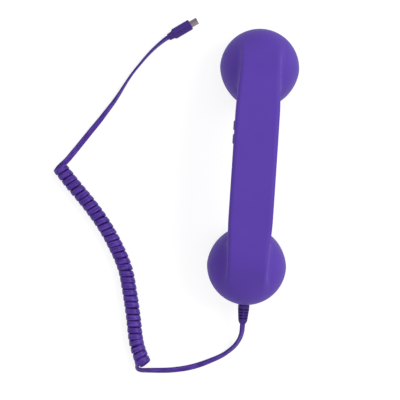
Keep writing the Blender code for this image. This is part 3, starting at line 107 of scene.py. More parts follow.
def run_sums(tree, values, sums):
    """Runs formulas such as "side = x, ABSOLUTE, SUBTRACT width", a name, a start and steps by Math nodes,
    and adds each result to the values. A term is a number or an earlier name, or "it", the result so far."""
    for line in sums.strip().splitlines():
        name, formula = line.strip().split(" = ")
        start, *steps = formula.split(", ")
        values["it"] = values[start] if start in values else float(start)
        for step in steps:
            operation, *terms = step.split()
            terms = [values[term] if term in values else float(term) for term in ("it", *terms)]
            values["it"] = add_node(tree, "ShaderNodeMath", dict(enumerate(terms)), operation=operation)
        values[name] = values["it"]
    return values


# %% [markdown]
# ## The camera
# The photograph looks straight down from far above, and is rolled a little, so that the handset leans to
# the right. A long lens from 2 m keeps the same slight perspective.

# %% Camera
CAMERA_PLACE = (-0.0377, -0.0271, 2.000)
CAMERA_ROLL = math.radians(3.8)
VIEW_WIDTH = 0.2978
VIEW_LEVEL = 0.015

camera_data = bpy.data.cameras.new("photo_camera")
camera_data.lens = camera_data.sensor_width * (CAMERA_PLACE[2] - VIEW_LEVEL) / VIEW_WIDTH
camera_data.clip_end = 20.0
camera = new_object("photo_camera", camera_data)
camera.location = CAMERA_PLACE
camera.rotation_euler = (0.0, 0.0, CAMERA_ROLL)
bpy.context.scene.camera = camera
print("Lens:", round(camera_data.lens, 1), "mm")

# %% [markdown]
# ## The sizes that the CAD model was built from
# The fine shapes follow the same rule as the CAD model, so its main sizes are repeated here.

# %% Sizes of the handset
HANDSET_LENGTH = 0.2050
HANDSET_HEIGHT = 0.0700
BELL_RADIUS = 0.0294
BELL_HEIGHT = 0.0440
BELL_WIDEST_HEIGHT = 0.0090
BELL_TILT = math.radians(6.0)
BELL_ROUNDNESS = 2.3
BELL_INNER_NARROWING = 0.075
HANDLE_WIDTH = 0.0323
HANDLE_WIDTH_OVER_BELL = 0.0297
HANDLE_THICKNESS = 0.0240
HANDLE_CORNER = 0.0030
ARCH_DROP = 0.0060
SHOULDER_RADIUS = 0.0340
STRIP_REACH = 0.0205
BLEND_RADIUS = 0.0040
BELL_CLEARANCE = 0.0045
WALL = 0.0024
GAP = 0.0003
SEAM_RADIUS = 0.0272
CAP_HEIGHT = 0.0085
PROFILE_SAMPLES = 400

BELL_RISE = BELL_HEIGHT - BELL_WIDEST_HEIGHT
heights = np.linspace(0.0, BELL_HEIGHT, PROFILE_SAMPLES)
share_above = np.clip((heights - BELL_WIDEST_HEIGHT) / BELL_RISE, 0.0, 1.0)
share_below = np.clip(1.0 - heights / BELL_WIDEST_HEIGHT, 0.0, None)
bell_radii = BELL_RADIUS - (BELL_RADIUS - SEAM_RADIUS) * share_below**2
bell_radii = bell_radii * (1.0 - share_above**BELL_ROUNDNESS) ** (1.0 / BELL_ROUNDNESS)
bell_reach = float(np.max(bell_radii * math.cos(BELL_TILT) + heights * math.sin(BELL_TILT)))
SEAM_Y = HANDSET_LENGTH / 2 - bell_reach
SEAM_Z = 0.0109734
ARCH_RADIUS = (SEAM_Y**2 + ARCH_DROP**2) / (2 * ARCH_DROP)
ARCH_CENTRE_Z = HANDSET_HEIGHT - ARCH_RADIUS
LEG_Y = SEAM_Y + STRIP_REACH
SHOULDER_Y = LEG_Y - SHOULDER_RADIUS
SHOULDER_Z = ARCH_CENTRE_Z + math.sqrt((ARCH_RADIUS - SHOULDER_RADIUS) ** 2 - SHOULDER_Y**2)
SHOULDER_SLOPE = math.tan(math.asin(SHOULDER_Y / (ARCH_RADIUS - SHOULDER_RADIUS)))
FAN_Y = SEAM_Y - BELL_RADIUS - BELL_CLEARANCE
FAN_Z = SEAM_Z + (SEAM_Y - FAN_Y) * math.tan(BELL_TILT)
print("Seams at y =", round(SEAM_Y * 1000, 2), "mm, fan lines at y =", round(FAN_Y * 1000, 2), "mm")


def arch_z(y, depth=0.0):
    """Height of the line a depth below the handle's arched back."""
    return ARCH_CENTRE_Z + math.sqrt((ARCH_RADIUS - depth) ** 2 - y**2)


# %% [markdown]
# ## The curly cord
# The real cord is one flat flexible strip with several cores in a satin elastomer jacket, about 4.4 mm wide
# and 1.8 mm thick. Its middle was wound on a rod and set by heat, so it springs back into 34 turns. A helix
# modifier or a chain of torus shapes could stand for it, but only one continuous strip shows how the flat
# ends leave the coil and turn over. So a line with a few numbers on each point is prepared here, and a
# Geometry Nodes tree sweeps the strip's section along it. The photograph shows the whole cord, so its
# length is real.

# %% The cord's sizes and its route on the surface
BOOT_LENGTH = 0.0148
PLUG_START = np.array([-0.0693, 0.0928, 0.0043])
PLUG_HEADING = math.radians(34.3)
PLUG_TURN = math.radians(53.0)
CORD_WIDTH = 0.0044
CORD_THICKNESS = 0.0018
CORD_ROUNDNESS = 3.6
COIL_RADIUS = 0.0046
COIL_TURNS = 34
FLOOR_CLEARANCE = 0.0002

exit_axis = np.array([0.0, -math.cos(BELL_TILT), -math.sin(BELL_TILT)])
mouth_axis = np.array([0.0, -math.sin(BELL_TILT), math.cos(BELL_TILT)])
exit_point = np.array([0.0, -SEAM_Y, SEAM_Z]) + exit_axis * BELL_RADIUS + mouth_axis * BELL_WIDEST_HEIGHT
plug_way = np.array([math.cos(PLUG_HEADING), math.sin(PLUG_HEADING), 0.0])

# Along the surface from the boot, then back under the coil's end, where the lead becomes the first turn.
HANDSET_LEAD_ROUTE = [
    (0.0000, -0.1205, 0.0144), (-0.0003, -0.1245, 0.0121), (-0.0018, -0.1295, 0.0076),
    (-0.0052, -0.1350, 0.0034), (-0.0108, -0.1402, 0.0018), (-0.0160, -0.1436, 0.0016),
    (-0.0219, -0.1466, 0.0016), (-0.0277, -0.1493, 0.0016), (-0.0336, -0.1516, 0.0016),
    (-0.0395, -0.1534, 0.0016), (-0.0454, -0.1547, 0.0016), (-0.0514, -0.1557, 0.0016),
    (-0.0574, -0.1563, 0.0016), (-0.0634, -0.1567, 0.0016), (-0.0700, -0.1571, 0.0020),
    (-0.0728, -0.1572, 0.0021), (-0.0752, -0.1567, 0.0021), (-0.0764, -0.1552, 0.0019),
    (-0.0761, -0.1534, 0.0014),
]
# The coil's axis, from its end near the handset to its end near the plug.
COIL_ROUTE = [
    (-0.0720, -0.1523), (-0.0781, -0.1365), (-0.0817, -0.1175), (-0.0856, -0.0993), (-0.0904, -0.0815),
    (-0.0987, -0.0651), (-0.1088, -0.0496), (-0.1206, -0.0353), (-0.1333, -0.0218), (-0.1443, -0.0095),
]
# From the coil to the plug's neck.
PLUG_LEAD_ROUTE = [
    (-0.1393, -0.0041, 0.0016), (-0.1358, 0.0006, 0.0016), (-0.1323, 0.0054, 0.0016),
    (-0.1290, 0.0101, 0.0016), (-0.1256, 0.0149, 0.0016), (-0.1223, 0.0196, 0.0016),
    (-0.1188, 0.0244, 0.0016), (-0.1155, 0.0291, 0.0016), (-0.1124, 0.0338, 0.0016),
    (-0.1092, 0.0386, 0.0016), (-0.1062, 0.0433, 0.0016), (-0.1035, 0.0480, 0.0016),
    (-0.1010, 0.0527, 0.0016), (-0.0985, 0.0573, 0.0016), (-0.0958, 0.0620, 0.0016),
    (-0.0927, 0.0668, 0.0016), (-0.0893, 0.0715, 0.0017), (-0.0858, 0.0763, 0.0020),
    (-0.0820, 0.0810, 0.0026), (-0.0775, 0.0858, 0.0034),
]
# How the flat strip is turned about its own line: shares of a lead's length, and degrees from face up there.
HANDSET_LEAD_TURNS = ((0.0, 0.12, 0.30, 0.55, 0.80, 0.95, 1.0), (-38, -48, -53, -26, -38, -55, -90))
PLUG_LEAD_TURNS = (
    (0.0, 0.06, 0.15, 0.32, 0.42, 0.52, 0.62, 0.72, 0.81, 0.90, 0.97, 1.0),
    (0, 8, 22, 34, 50, 65, 81, 87, 82, 74, 61, 51),
)

# %% Helpers for lines of points
def smooth_route(points, samples):
    """Evenly numbered points on a smooth curve through the route's own points."""
    points = np.asarray(points, float)
    route = np.vstack([2 * points[0] - points[1], points, 2 * points[-1] - points[-2]])
    place = np.linspace(0.0, len(points) - 1, samples)
    index = np.minimum(place.astype(int), len(points) - 2)
    t = (place - index)[:, None]
    p0, p1, p2, p3 = route[index], route[index + 1], route[index + 2], route[index + 3]
    cubic = 3 * p1 - p0 - 3 * p2 + p3
    return 0.5 * (2 * p1 + (p2 - p0) * t + (2 * p0 - 5 * p1 + 4 * p2 - p3) * t**2 + cubic * t**3)


def lengths_along(points):
    return np.concatenate([[0.0], np.cumsum(np.linalg.norm(np.diff(points, axis=0), axis=1))])


def evenly(points, count):
    """The same line with evenly spaced points."""
    along = lengths_along(points)
    wanted = np.linspace(0.0, along[-1], count)
    return np.stack([np.interp(wanted, along, points[:, axis]) for axis in range(3)], axis=1)


def unit(vectors):
    return vectors / np.linalg.norm(vectors, axis=-1, keepdims=True)


def ways(points):
    """At each point of a line: the way along it, the level way across it, and the way up from both."""
    tangents = unit(np.gradient(points, axis=0))
    sides = unit(np.cross(tangents, [0.0, 0.0, 1.0]))
    return tangents, sides, np.cross(sides, tangents)


def strip_facings(points, turns):
    """The direction that the strip's flat side faces at each point of a lead."""
    along = lengths_along(points)
    angles = np.radians(np.interp(along / along[-1], *turns))[:, None]
    _, sides, ups = ways(points)
    return ups * np.cos(angles) + sides * np.sin(angles)


# %% [markdown]
# The coil is a left-handed helix: seen from above, each turn slopes down to the right. A coil that has been
# used is not perfect. Its first turn is a little wider, its turns lean and wander, and each leans on the
# one before like a shingle, so that its edge nearer the handset stands a little proud.

# %% One line through the whole cord
SAMPLES_PER_TURN = 32
POINTS_A_STEP = 8
PITCH_GROWTH = 0.02
FIRST_TURN_PHASE = math.radians(250.0)
PHASE_GAIN = math.radians(20.0)
SHINGLE_ANGLE = math.radians(6.0)
FLARE = 0.15
FLARE_TURNS = 0.8
LEAN = 0.10
END_LEAN = 0.30
END_LEAN_TURN = 1.6
END_LEAN_TURNS = 1.9
MIDDLE_LEAN = 0.12
WANDERS = ((0.00012, 2.1, 0.7), (0.00010, 0.83, 0.0))
COIL_SMOOTH_SAMPLES = 400
FACING_PASSES = 10
LIFTING_PASSES = 6
LIFTING_REACH = 8
CORD_INTO_BOOT = 0.0015
CORD_INTO_PLUG = 0.001
PLUG_APPROACH = 0.003

coil_level = COIL_RADIUS + CORD_THICKNESS / 2 + FLOOR_CLEARANCE / 2
coil_line = smooth_route([(x, y, coil_level) for x, y in COIL_ROUTE], COIL_SMOOTH_SAMPLES)
coil_axis = evenly(coil_line, COIL_TURNS * SAMPLES_PER_TURN + 1)
share = np.linspace(0.0, 1.0, len(coil_axis))
turn_number = share * COIL_TURNS
phase = 2 * math.pi * COIL_TURNS * (share * (1 + PITCH_GROWTH) - PITCH_GROWTH * share**2)
phase += FIRST_TURN_PHASE + PHASE_GAIN * share
tangents, sides, ups = ways(coil_axis)
radial = sides * np.cos(phase)[:, None] + ups * np.sin(phase)[:, None]
lean = LEAN + END_LEAN * np.exp(-(((turn_number - END_LEAN_TURN) / END_LEAN_TURNS) ** 2))
lean -= MIDDLE_LEAN * np.sin(math.pi * share) ** 2
wander = sum(size * np.sin(turn_number * rate + start) for size, rate, start in WANDERS)
flare = COIL_RADIUS * (1 + FLARE * np.exp(-turn_number / FLARE_TURNS))
coil_strand = coil_axis + radial * flare[:, None]
coil_strand += tangents * (COIL_RADIUS * lean * np.cos(phase) + wander)[:, None]
coil_facings = radial * math.cos(SHINGLE_ANGLE) + tangents * math.sin(SHINGLE_ANGLE)

# Each lead's curve takes in two points of the coil, so that it leaves smoothly, and is cut off there.
boot_end = exit_point + exit_axis * (BOOT_LENGTH - CORD_INTO_BOOT)
stops = [boot_end, *HANDSET_LEAD_ROUTE, coil_strand[0], coil_strand[6]]
handset_lead = smooth_route(stops, POINTS_A_STEP * (len(stops) - 1) + 1)[: -POINTS_A_STEP - 1]
stops = [coil_strand[-5], coil_strand[-1], *PLUG_LEAD_ROUTE, PLUG_START - PLUG_APPROACH * plug_way]
stops.append(PLUG_START + CORD_INTO_PLUG * plug_way)
plug_lead = smooth_route(stops, POINTS_A_STEP * (len(stops) - 1) + 1)[POINTS_A_STEP + 1 :]

# The facings of the three stretches, smoothed where they meet and set square to the line.
cord_points = np.vstack([handset_lead, coil_strand, plug_lead])
lead_facings = strip_facings(handset_lead, HANDSET_LEAD_TURNS), strip_facings(plug_lead, PLUG_LEAD_TURNS)
cord_facings = np.vstack([lead_facings[0], coil_facings, -lead_facings[1]])
for _ in range(FACING_PASSES):
    cord_facings[1:-1] = unit((cord_facings[:-2] + 2 * cord_facings[1:-1] + cord_facings[2:]) / 4)
cord_tangents = unit(np.gradient(cord_points, axis=0))
cord_facings = unit(cord_facings - cord_tangents * (cord_facings * cord_tangents).sum(axis=1, keepdims=True))

# Where the strip would sink into the surface it is lifted until it rests on it. Only the leads are smoothed.
cord_across = np.cross(cord_tangents, cord_facings)
power = CORD_ROUNDNESS / (CORD_ROUNDNESS - 1)
half_heights = np.abs(cord_facings[:, 2] * CORD_THICKNESS / 2) ** power
half_heights = (half_heights + np.abs(cord_across[:, 2] * CORD_WIDTH / 2) ** power) ** (1 / power)
levels = cord_points[:, 2]
coil_start = len(handset_lead)
coiled = slice(coil_start + LIFTING_REACH, coil_start + len(coil_strand) - LIFTING_REACH)
for _ in range(LIFTING_PASSES):
    levels[:] = np.maximum(levels, half_heights + FLOOR_CLEARANCE)
    kept = levels[coiled].copy()
    levels[1:-1] = (levels[:-2] + 2 * levels[1:-1] + levels[2:]) / 4
    levels[coiled] = kept
levels[:] = np.maximum(levels, half_heights + FLOOR_CLEARANCE)

# %% [markdown]
# A Geometry Nodes tree sweeps the strip's section along that line. The line is a mesh of points and edges,
# because a mesh can carry an attribute, here the direction that the strip's flat side faces. The tree turns
# it into a curve, uses the attribute as the curve's normal, and sweeps a flat oval. The oval is a circle
# whose points are moved by a power of their sine and cosine: a roundness of 2 is an ellipse, and a high one
# nears a rectangle.

# %% Helpers for trees
def new_tree(name, sockets):
    """A Geometry Nodes tree with these inputs, a material and one geometry output, and its input sockets."""
    tree = bpy.data.node_groups.new(name, "GeometryNodeTree")
    tree.interface.new_socket("Geometry", in_out="OUTPUT", socket_type="NodeSocketGeometry")
    for label, kind in {**sockets, "Material": "Material"}.items():
        tree.interface.new_socket(label, in_out="INPUT", socket_type="NodeSocket" + kind)
    return tree, add_node(tree, "NodeGroupInput").outputs


def end_tree(tree, geometry, material):
    real = add_node(tree, "GeometryNodeRealizeInstances", {0: geometry})
    painted = add_node(tree, "GeometryNodeSetMaterial", {0: real, 2: material})
    add_node(tree, "NodeGroupOutput", {0: painted})


def finished_mesh(holder, *helpers):
    """The mesh that an object's modifiers make. The object and its helpers are then removed."""
    evaluated = holder.evaluated_get(bpy.context.evaluated_depsgraph_get())
    result = bpy.data.meshes.new_from_object(evaluated)
    for used in (holder, *helpers):
        bpy.data.objects.remove(used, do_unlink=True)
    return result


def run_tree(name, tree, values, mesh=None):
    """Evaluates a tree on a mesh, with values for its inputs, and returns the result as a plain mesh."""
    carrier = new_object(name, mesh or bpy.data.meshes.new(name))
    modifier = carrier.modifiers.new(name, "NODES")
    modifier.node_group = tree
    for socket in tree.interface.items_tree:
        if socket.name in values:
            modifier[socket.identifier] = values[socket.name]
    result = finished_mesh(carrier)
    result.name = name
    print(name + ":", len(result.vertices), "points,", len(result.polygons), "faces")
    return result


def line_mesh(name, points, **numbers):
    """A mesh of points joined by edges. Each point carries the given numbers or vectors."""
    mesh = bpy.data.meshes.new(name)
    mesh.from_pydata(np.asarray(points).tolist(), [(k, k + 1) for k in range(len(points) - 1)], [])
    for label, values in numbers.items():
        values = np.asarray(values, float)
        kind, field = ("FLOAT_VECTOR", "vector") if values.ndim == 2 else ("FLOAT", "value")
        mesh.attributes.new(label, kind, "POINT").data.foreach_set(field, values.ravel())
    return mesh


# %% The tree that sweeps the strip
SECTION_POINTS = 28

inputs = {"Line": "Geometry", "Width": "Float", "Thickness": "Float", "Roundness": "Float"}
sweep, given = new_tree("sweep a flat strip", inputs)
line = add_node(sweep, "GeometryNodeMeshToCurve", {0: given["Line"]})
facing = add_node(sweep, "GeometryNodeInputNamedAttribute", {"Name": "facing"}, data_type="FLOAT_VECTOR")
faced = add_node(sweep, "GeometryNodeSetCurveNormal", {0: line, "Normal": facing}, mode="FREE")
circle = add_node(sweep, "GeometryNodeCurvePrimitiveCircle", {"Resolution": SECTION_POINTS, "Radius": 1.0})
spot = add_node(sweep, "GeometryNodeInputPosition")
split = add_node(sweep, "ShaderNodeSeparateXYZ", {0: spot})
values = {"cosine": split.outputs[0], "sine": split.outputs[1]}
values |= {"width": given["Width"], "thickness": given["Thickness"], "roundness": given["Roundness"]}
oval = run_sums(sweep, values, """
    power = 2, DIVIDE roundness
    cosine_sign = cosine, SIGN
    sine_sign = sine, SIGN
    half_thickness = thickness, MULTIPLY 0.5
    half_width = width, MULTIPLY 0.5
    x = cosine, ABSOLUTE, POWER power, MULTIPLY cosine_sign, MULTIPLY half_thickness
    across = sine, ABSOLUTE, POWER power, MULTIPLY sine_sign
    y = across, MULTIPLY half_width
""")
marks = {0: circle, "Name": "across", "Value": oval["across"]}
marked = add_node(sweep, "GeometryNodeStoreNamedAttribute", marks, data_type="FLOAT")
oval_place = add_node(sweep, "ShaderNodeCombineXYZ", {0: oval["x"], 1: oval["y"]})
section = add_node(sweep, "GeometryNodeSetPosition", {0: marked, "Position": oval_place})
swept = add_node(sweep, "GeometryNodeCurveToMesh", {0: faced, 1: section, "Fill Caps": True})
smooth = add_node(sweep, "GeometryNodeSetShadeSmooth", {0: swept})
end_tree(sweep, smooth, given["Material"])

# %% [markdown]
# ## The handset's skin
# The real handset is two injection mouldings in one smooth form: a bar with an arched back that bends down
# into two bells. Subdivision modelling could give a similar look, but this form follows a rule, so Geometry
# Nodes can make it exactly. A node group says how far any point lies from the surface. The tree lays a grid
# of rays out from a line inside the form, and a repeat zone walks each point along its ray, in or out by
# half as far each time, until it lies on the surface.

# %% The form as a sum of distances
SIN_TILT, COS_TILT = math.sin(BELL_TILT), math.cos(BELL_TILT)

distances = bpy.data.node_groups.new("distance to the handset", "GeometryNodeTree")
distances.interface.new_socket("Position", in_out="INPUT", socket_type="NodeSocketVector")
distances.interface.new_socket("Distance", in_out="OUTPUT", socket_type="NodeSocketFloat")
place = add_node(distances, "NodeGroupInput")
split = add_node(distances, "ShaderNodeSeparateXYZ", {0: place})
values = dict(zip("xyz", split.outputs))
run_sums(distances, values, f"""
    across = y, ABSOLUTE
    across_squared = across, MULTIPLY it
    up = z, SUBTRACT {ARCH_CENTRE_Z}
    arch = up, MULTIPLY_ADD it across_squared, SQRT, SUBTRACT {ARCH_RADIUS}
    along_squared = across, SUBTRACT {SHOULDER_Y}, MULTIPLY it
    shoulder = z, SUBTRACT {SHOULDER_Z}, MULTIPLY_ADD it along_squared, SQRT, SUBTRACT {SHOULDER_RADIUS}
    leg = across, SUBTRACT {LEG_Y}
    under_arch = across, DIVIDE up, LESS_THAN {SHOULDER_SLOPE}
    above_shoulder = z, GREATER_THAN {SHOULDER_Z}
    bend = shoulder, SUBTRACT leg, MULTIPLY_ADD above_shoulder leg
    back = arch, SUBTRACT bend, MULTIPLY_ADD under_arch bend
    deep = back, ADD {HANDLE_THICKNESS / 2}, ABSOLUTE, ADD {HANDLE_CORNER - HANDLE_THICKNESS / 2}
""")
widths = {0: values["across"], 1: FAN_Y, 2: SEAM_Y, 3: HANDLE_WIDTH / 2, 4: HANDLE_WIDTH_OVER_BELL / 2}
values["half_width"] = add_node(distances, "ShaderNodeMapRange", widths, interpolation_type="SMOOTHSTEP")
run_sums(distances, values, f"""
    wide = x, ABSOLUTE, SUBTRACT half_width, ADD {HANDLE_CORNER}
    deep_squared = deep, MAXIMUM 0, MULTIPLY it
    edge = wide, MAXIMUM 0, MULTIPLY_ADD it deep_squared, SQRT
    handle = deep, MAXIMUM wide, MINIMUM 0, ADD edge, SUBTRACT {HANDLE_CORNER}
    along = across, SUBTRACT {SEAM_Y}
    climb = z, SUBTRACT {SEAM_Z}
    climb_out = climb, MULTIPLY {-SIN_TILT}
    outward = along, MULTIPLY_ADD {COS_TILT} climb_out
    along_up = along, MULTIPLY {SIN_TILT}
    height = climb, MULTIPLY_ADD {COS_TILT} along_up
    outward_squared = outward, MULTIPLY it
    radius = x, MULTIPLY_ADD it outward_squared, SQRT
    inwardness = outward, MULTIPLY -1, MAXIMUM 0, DIVIDE radius
""")
narrowings = {0: values["height"], 1: 0.0, 2: BELL_WIDEST_HEIGHT, 3: 0.0, 4: BELL_INNER_NARROWING}
values["narrowing"] = add_node(distances, "ShaderNodeMapRange", narrowings, interpolation_type="SMOOTHSTEP")
run_sums(distances, values, f"""
    pinch = inwardness, MULTIPLY narrowing
    left_over = 1, SUBTRACT pinch
    round = radius, DIVIDE left_over
    below = {BELL_WIDEST_HEIGHT}, SUBTRACT height
    below_squared = below, DIVIDE {BELL_WIDEST_HEIGHT}, MAXIMUM 0, MULTIPLY it
    taper = below_squared, MULTIPLY_ADD {SEAM_RADIUS - BELL_RADIUS} {BELL_RADIUS}
    lower = round, SUBTRACT taper
    above_power = below, MULTIPLY -1, MAXIMUM 0, DIVIDE {BELL_RISE}, POWER {BELL_ROUNDNESS}
    dome = round, DIVIDE {BELL_RADIUS}, POWER {BELL_ROUNDNESS}, ADD above_power, POWER {1.0 / BELL_ROUNDNESS}
    upper = dome, MULTIPLY_ADD {BELL_RADIUS} {-BELL_RADIUS}
    is_low = height, LESS_THAN {BELL_WIDEST_HEIGHT}
    bell = lower, SUBTRACT upper, MULTIPLY_ADD is_low upper
    apart = handle, SUBTRACT bell, ABSOLUTE
    near_squared = {BLEND_RADIUS}, SUBTRACT apart, MAXIMUM 0, MULTIPLY it
    nearest = handle, MINIMUM bell
    distance = near_squared, MULTIPLY_ADD {-1.0 / (4.0 * BLEND_RADIUS)} nearest
""")
add_node(distances, "NodeGroupOutput", {"Distance": values["distance"]})
print("The distance takes", len(distances.nodes), "nodes")

# %% The tree that lays the skin on the form
HANDLE_SHARE = 0.30
RAY_REACH = 0.075
HALVINGS = 20
START_DISTANCE = HANDSET_HEIGHT - HANDLE_THICKNESS / 2 - FAN_Z
END_DISTANCE = (SEAM_Y - FAN_Y) / COS_TILT

skin_tree, given = new_tree("skin of the handset", {"Rings": "Int", "Rays": "Int", "Inset": "Float"})
ray_points = add_node(skin_tree, "ShaderNodeMath", {0: given["Rays"], 1: 1.0}, operation="ADD")
grid = add_node(skin_tree, "GeometryNodeMeshGrid", {0: 1.0, 1: 1.0, 2: given["Rings"], 3: ray_points})
grid_place = add_node(skin_tree, "GeometryNodeInputPosition")
split = add_node(skin_tree, "ShaderNodeSeparateXYZ", {0: grid_place})
values = run_sums(skin_tree, {"u": split.outputs[0], "v": split.outputs[1]}, f"""
    end = u, SIGN
    away = u, ABSOLUTE, MULTIPLY 2
    handle_y = away, DIVIDE {HANDLE_SHARE}, MINIMUM 1, MULTIPLY {FAN_Y}
    fan = away, SUBTRACT {HANDLE_SHARE}, DIVIDE {1.0 - HANDLE_SHARE}, MAXIMUM 0
    turn = fan, MULTIPLY {math.pi / 2 + BELL_TILT}
    turn_sine = turn, SINE
    turn_cosine = turn, COSINE
    distance = fan, MULTIPLY_ADD {END_DISTANCE - START_DISTANCE} {START_DISTANCE}
    line_y = turn_sine, MULTIPLY_ADD distance handle_y, MULTIPLY end
    line_z = turn_cosine, MULTIPLY_ADD distance {FAN_Z}
    ray_turn = v, MULTIPLY {2 * math.pi}
    ray_x = ray_turn, COSINE
    ray_out = ray_turn, SINE
    ray_y = ray_out, MULTIPLY turn_sine, MULTIPLY end
    ray_z = ray_out, MULTIPLY turn_cosine
""")
line_point = add_node(skin_tree, "ShaderNodeCombineXYZ", {1: values["line_y"], 2: values["line_z"]})
ray_parts = {0: values["ray_x"], 1: values["ray_y"], 2: values["ray_z"]}
ray = add_node(skin_tree, "ShaderNodeCombineXYZ", ray_parts)
steps = {0: ray, 1: (RAY_REACH / 2,) * 3, 2: line_point}
halfway = add_node(skin_tree, "ShaderNodeVectorMath", steps, operation="MULTIPLY_ADD")
marks = {0: grid, "Name": "ray", "Value": ray}
with_rays = add_node(skin_tree, "GeometryNodeStoreNamedAttribute", marks, data_type="FLOAT_VECTOR")
at_halfway = add_node(skin_tree, "GeometryNodeSetPosition", {0: with_rays, "Position": halfway})

# %% The walk along the rays, as a repeat zone
walk_in = add_node(skin_tree, "GeometryNodeRepeatInput")
walk_out = add_node(skin_tree, "GeometryNodeRepeatOutput")
walk_in.pair_with_output(walk_out)
walk_out.repeat_items.new("FLOAT", "Step")
walk_in.inputs["Iterations"].default_value = HALVINGS
walk_in.inputs["Step"].default_value = RAY_REACH / 4
skin_tree.links.new(at_halfway.outputs[0], walk_in.inputs["Geometry"])
here = add_node(skin_tree, "GeometryNodeInputPosition")
measure = add_node(skin_tree, "GeometryNodeGroup", node_tree=distances)
skin_tree.links.new(here.outputs[0], measure.inputs["Position"])
own_ray = add_node(skin_tree, "GeometryNodeInputNamedAttribute", {"Name": "ray"}, data_type="FLOAT_VECTOR")
values = {"distance": measure, "inset": given["Inset"], "step": walk_in.outputs["Step"]}
walk = run_sums(skin_tree, values, """
    signed_step = distance, ADD inset, SIGN, MULTIPLY -1, MULTIPLY step
    next_step = step, MULTIPLY 0.5
""")
shift = {0: own_ray, "Scale": walk["signed_step"]}
move = add_node(skin_tree, "ShaderNodeVectorMath", shift, operation="SCALE")
moved = add_node(skin_tree, "GeometryNodeSetPosition", {0: walk_in.outputs["Geometry"], "Offset": move})
skin_tree.links.new(moved.outputs[0], walk_out.inputs["Geometry"])
skin_tree.links.new(walk["next_step"].outputs[0], walk_out.inputs["Step"])
bare = add_node(skin_tree, "GeometryNodeRemoveAttribute", {0: walk_out.outputs["Geometry"], "Name": "ray"})
merged = add_node(skin_tree, "GeometryNodeMergeByDistance", {0: bare, "Distance": 1e-6})
smooth = add_node(skin_tree, "GeometryNodeSetShadeSmooth", {0: merged})
end_tree(skin_tree, smooth, given["Material"])

# %% [markdown]
# ## Finishes
# Each material starts from what the real surface is. One helper starts it, and one joins what every surface
# has, a colour between two tones and a relief, and what most have, a gloss that is not quite even. The third
# serves most mouldings and platings: the colour drifts in patches, and a fine grain moves the gloss and the
# relief. All patterns read Object coordinates, which are metres here, so 1000 / a size in millimetres is a
# noise scale.

# %% Three helpers for finishes
# Most values of a noise lie between these two.
NOISE_LOW, NOISE_HIGH = 0.3, 0.7
PATCH_DETAIL, GRAIN_DETAIL = 3.0, 4.0
GRAIN_STRENGTH = 0.6


def start_finish(name, sockets):
    """A new material, its tree, its shader with these sockets set, and its Object coordinates."""
    material = bpy.data.materials.new(name)
    tree = empty_tree(material)
    shader = add_node(tree, "ShaderNodeBsdfPrincipled", sockets)
    add_node(tree, "ShaderNodeOutputMaterial", {"Surface": shader})
    return material, tree, shader, add_node(tree, "ShaderNodeTexCoord").outputs["Object"]


def set_surface(tree, shader, colours, tone, relief, strength, depth_mm, roughness=None, gloss=None):
    """Colour from two tones by one pattern, a relief by another and, if given, two roughnesses by a third."""
    tones = {0: tone, 6: linear(colours[0]), 7: linear(colours[1])}
    colour = add_node(tree, "ShaderNodeMix", tones, data_type="RGBA").outputs[2]
    heights = {"Strength": strength, "Distance": depth_mm / 1000.0, "Height": relief}
    bump = add_node(tree, "ShaderNodeBump", heights)
    sources = {"Base Color": colour, "Normal": bump.outputs[0]}
    if gloss:
        limits = {0: gloss, 1: NOISE_LOW, 2: NOISE_HIGH, 3: roughness[0], 4: roughness[1]}
        sources["Roughness"] = add_node(tree, "ShaderNodeMapRange", limits).outputs[0]
    for socket, source in sources.items():
        tree.links.new(source, shader.inputs[socket])


def grained(name, sockets, colours, patch_mm, roughness, grain_mm, depth_mm, stretch=None):
    """A finish whose colour drifts in patches, with a fine grain. A stretch draws both out into lines."""
    material, tree, shader, place = start_finish(name, sockets)
    if stretch:
        place = add_node(tree, "ShaderNodeMapping", {"Vector": place, **stretch})
    patches, grain = (
        add_node(tree, "ShaderNodeTexNoise", {"Vector": place, "Scale": 1000.0 / size_mm, "Detail": detail})
        for size_mm, detail in ((patch_mm, PATCH_DETAIL), (grain_mm, GRAIN_DETAIL))
    )
    set_surface(tree, shader, colours, patches, grain, GRAIN_STRENGTH, depth_mm, roughness, grain)
    return material


# %% [markdown]
# The shells and caps are moulded ABS under a sprayed soft-touch polyurethane paint. The paint scatters
# light in its skin: it has almost no highlight, and looks hazy and paler where the surface turns away. That
# haze is the sheen. Its real grain is under 0.1 mm, too fine to show here, so it is drawn 0.45 mm wide.

# %% Soft-touch paint on ABS
haze = {"Sheen Weight": 0.11, "Sheen Roughness": 0.22, "Sheen Tint": linear("#D3CBEA")}
soft_touch = grained(
    "soft_touch_paint_on_moulded_abs", {"IOR": 1.47, "Specular IOR Level": 0.25, **haze},
    ("#5336A1", "#5B3DAA"), 38.0, (0.56, 0.68), 0.45, 0.012,
)

# %% [markdown]
# The volume keys are small mouldings in violet ABS with a spark-eroded texture, coloured darker and
# greyer than the shells. They are not painted, so the texture's grain, near 0.3 mm, shows a little more.

# %% Textured ABS of the keys
key_plastic = grained(
    "spark_textured_abs", {"IOR": 1.53, "Specular IOR Level": 0.45},
    ("#43346D", "#503E7E"), 6.0, (0.42, 0.55), 0.30, 0.015,
)

# %% [markdown]
# The cord, its boot and the plug's grip are thermoplastic elastomer. Extruded, as on the cord, it has a
# satin skin with faint lines along it, 7 mm long, that vary its gloss and relief and also lighten its
# colour, a painted highlight, and a valley along the middle between its cores. The colour is darkened in
# that valley and towards the strip's edges, a painted shade where they face their neighbours in the coil.
# Moulded, as on the boot and the plug, it is more matt, and its colours are darker, a painted shade on the
# boot and the grip.

# %% Extruded and moulded elastomer
STREAK_LENGTH_MM = 7.0
STREAKS_TO_AN_EDGE = 2.2
# How far painted shade darkens the strip's middle valley and its edges.
PAINTED_VALLEY_SHADE = 0.25
PAINTED_EDGE_SHADE = 0.45

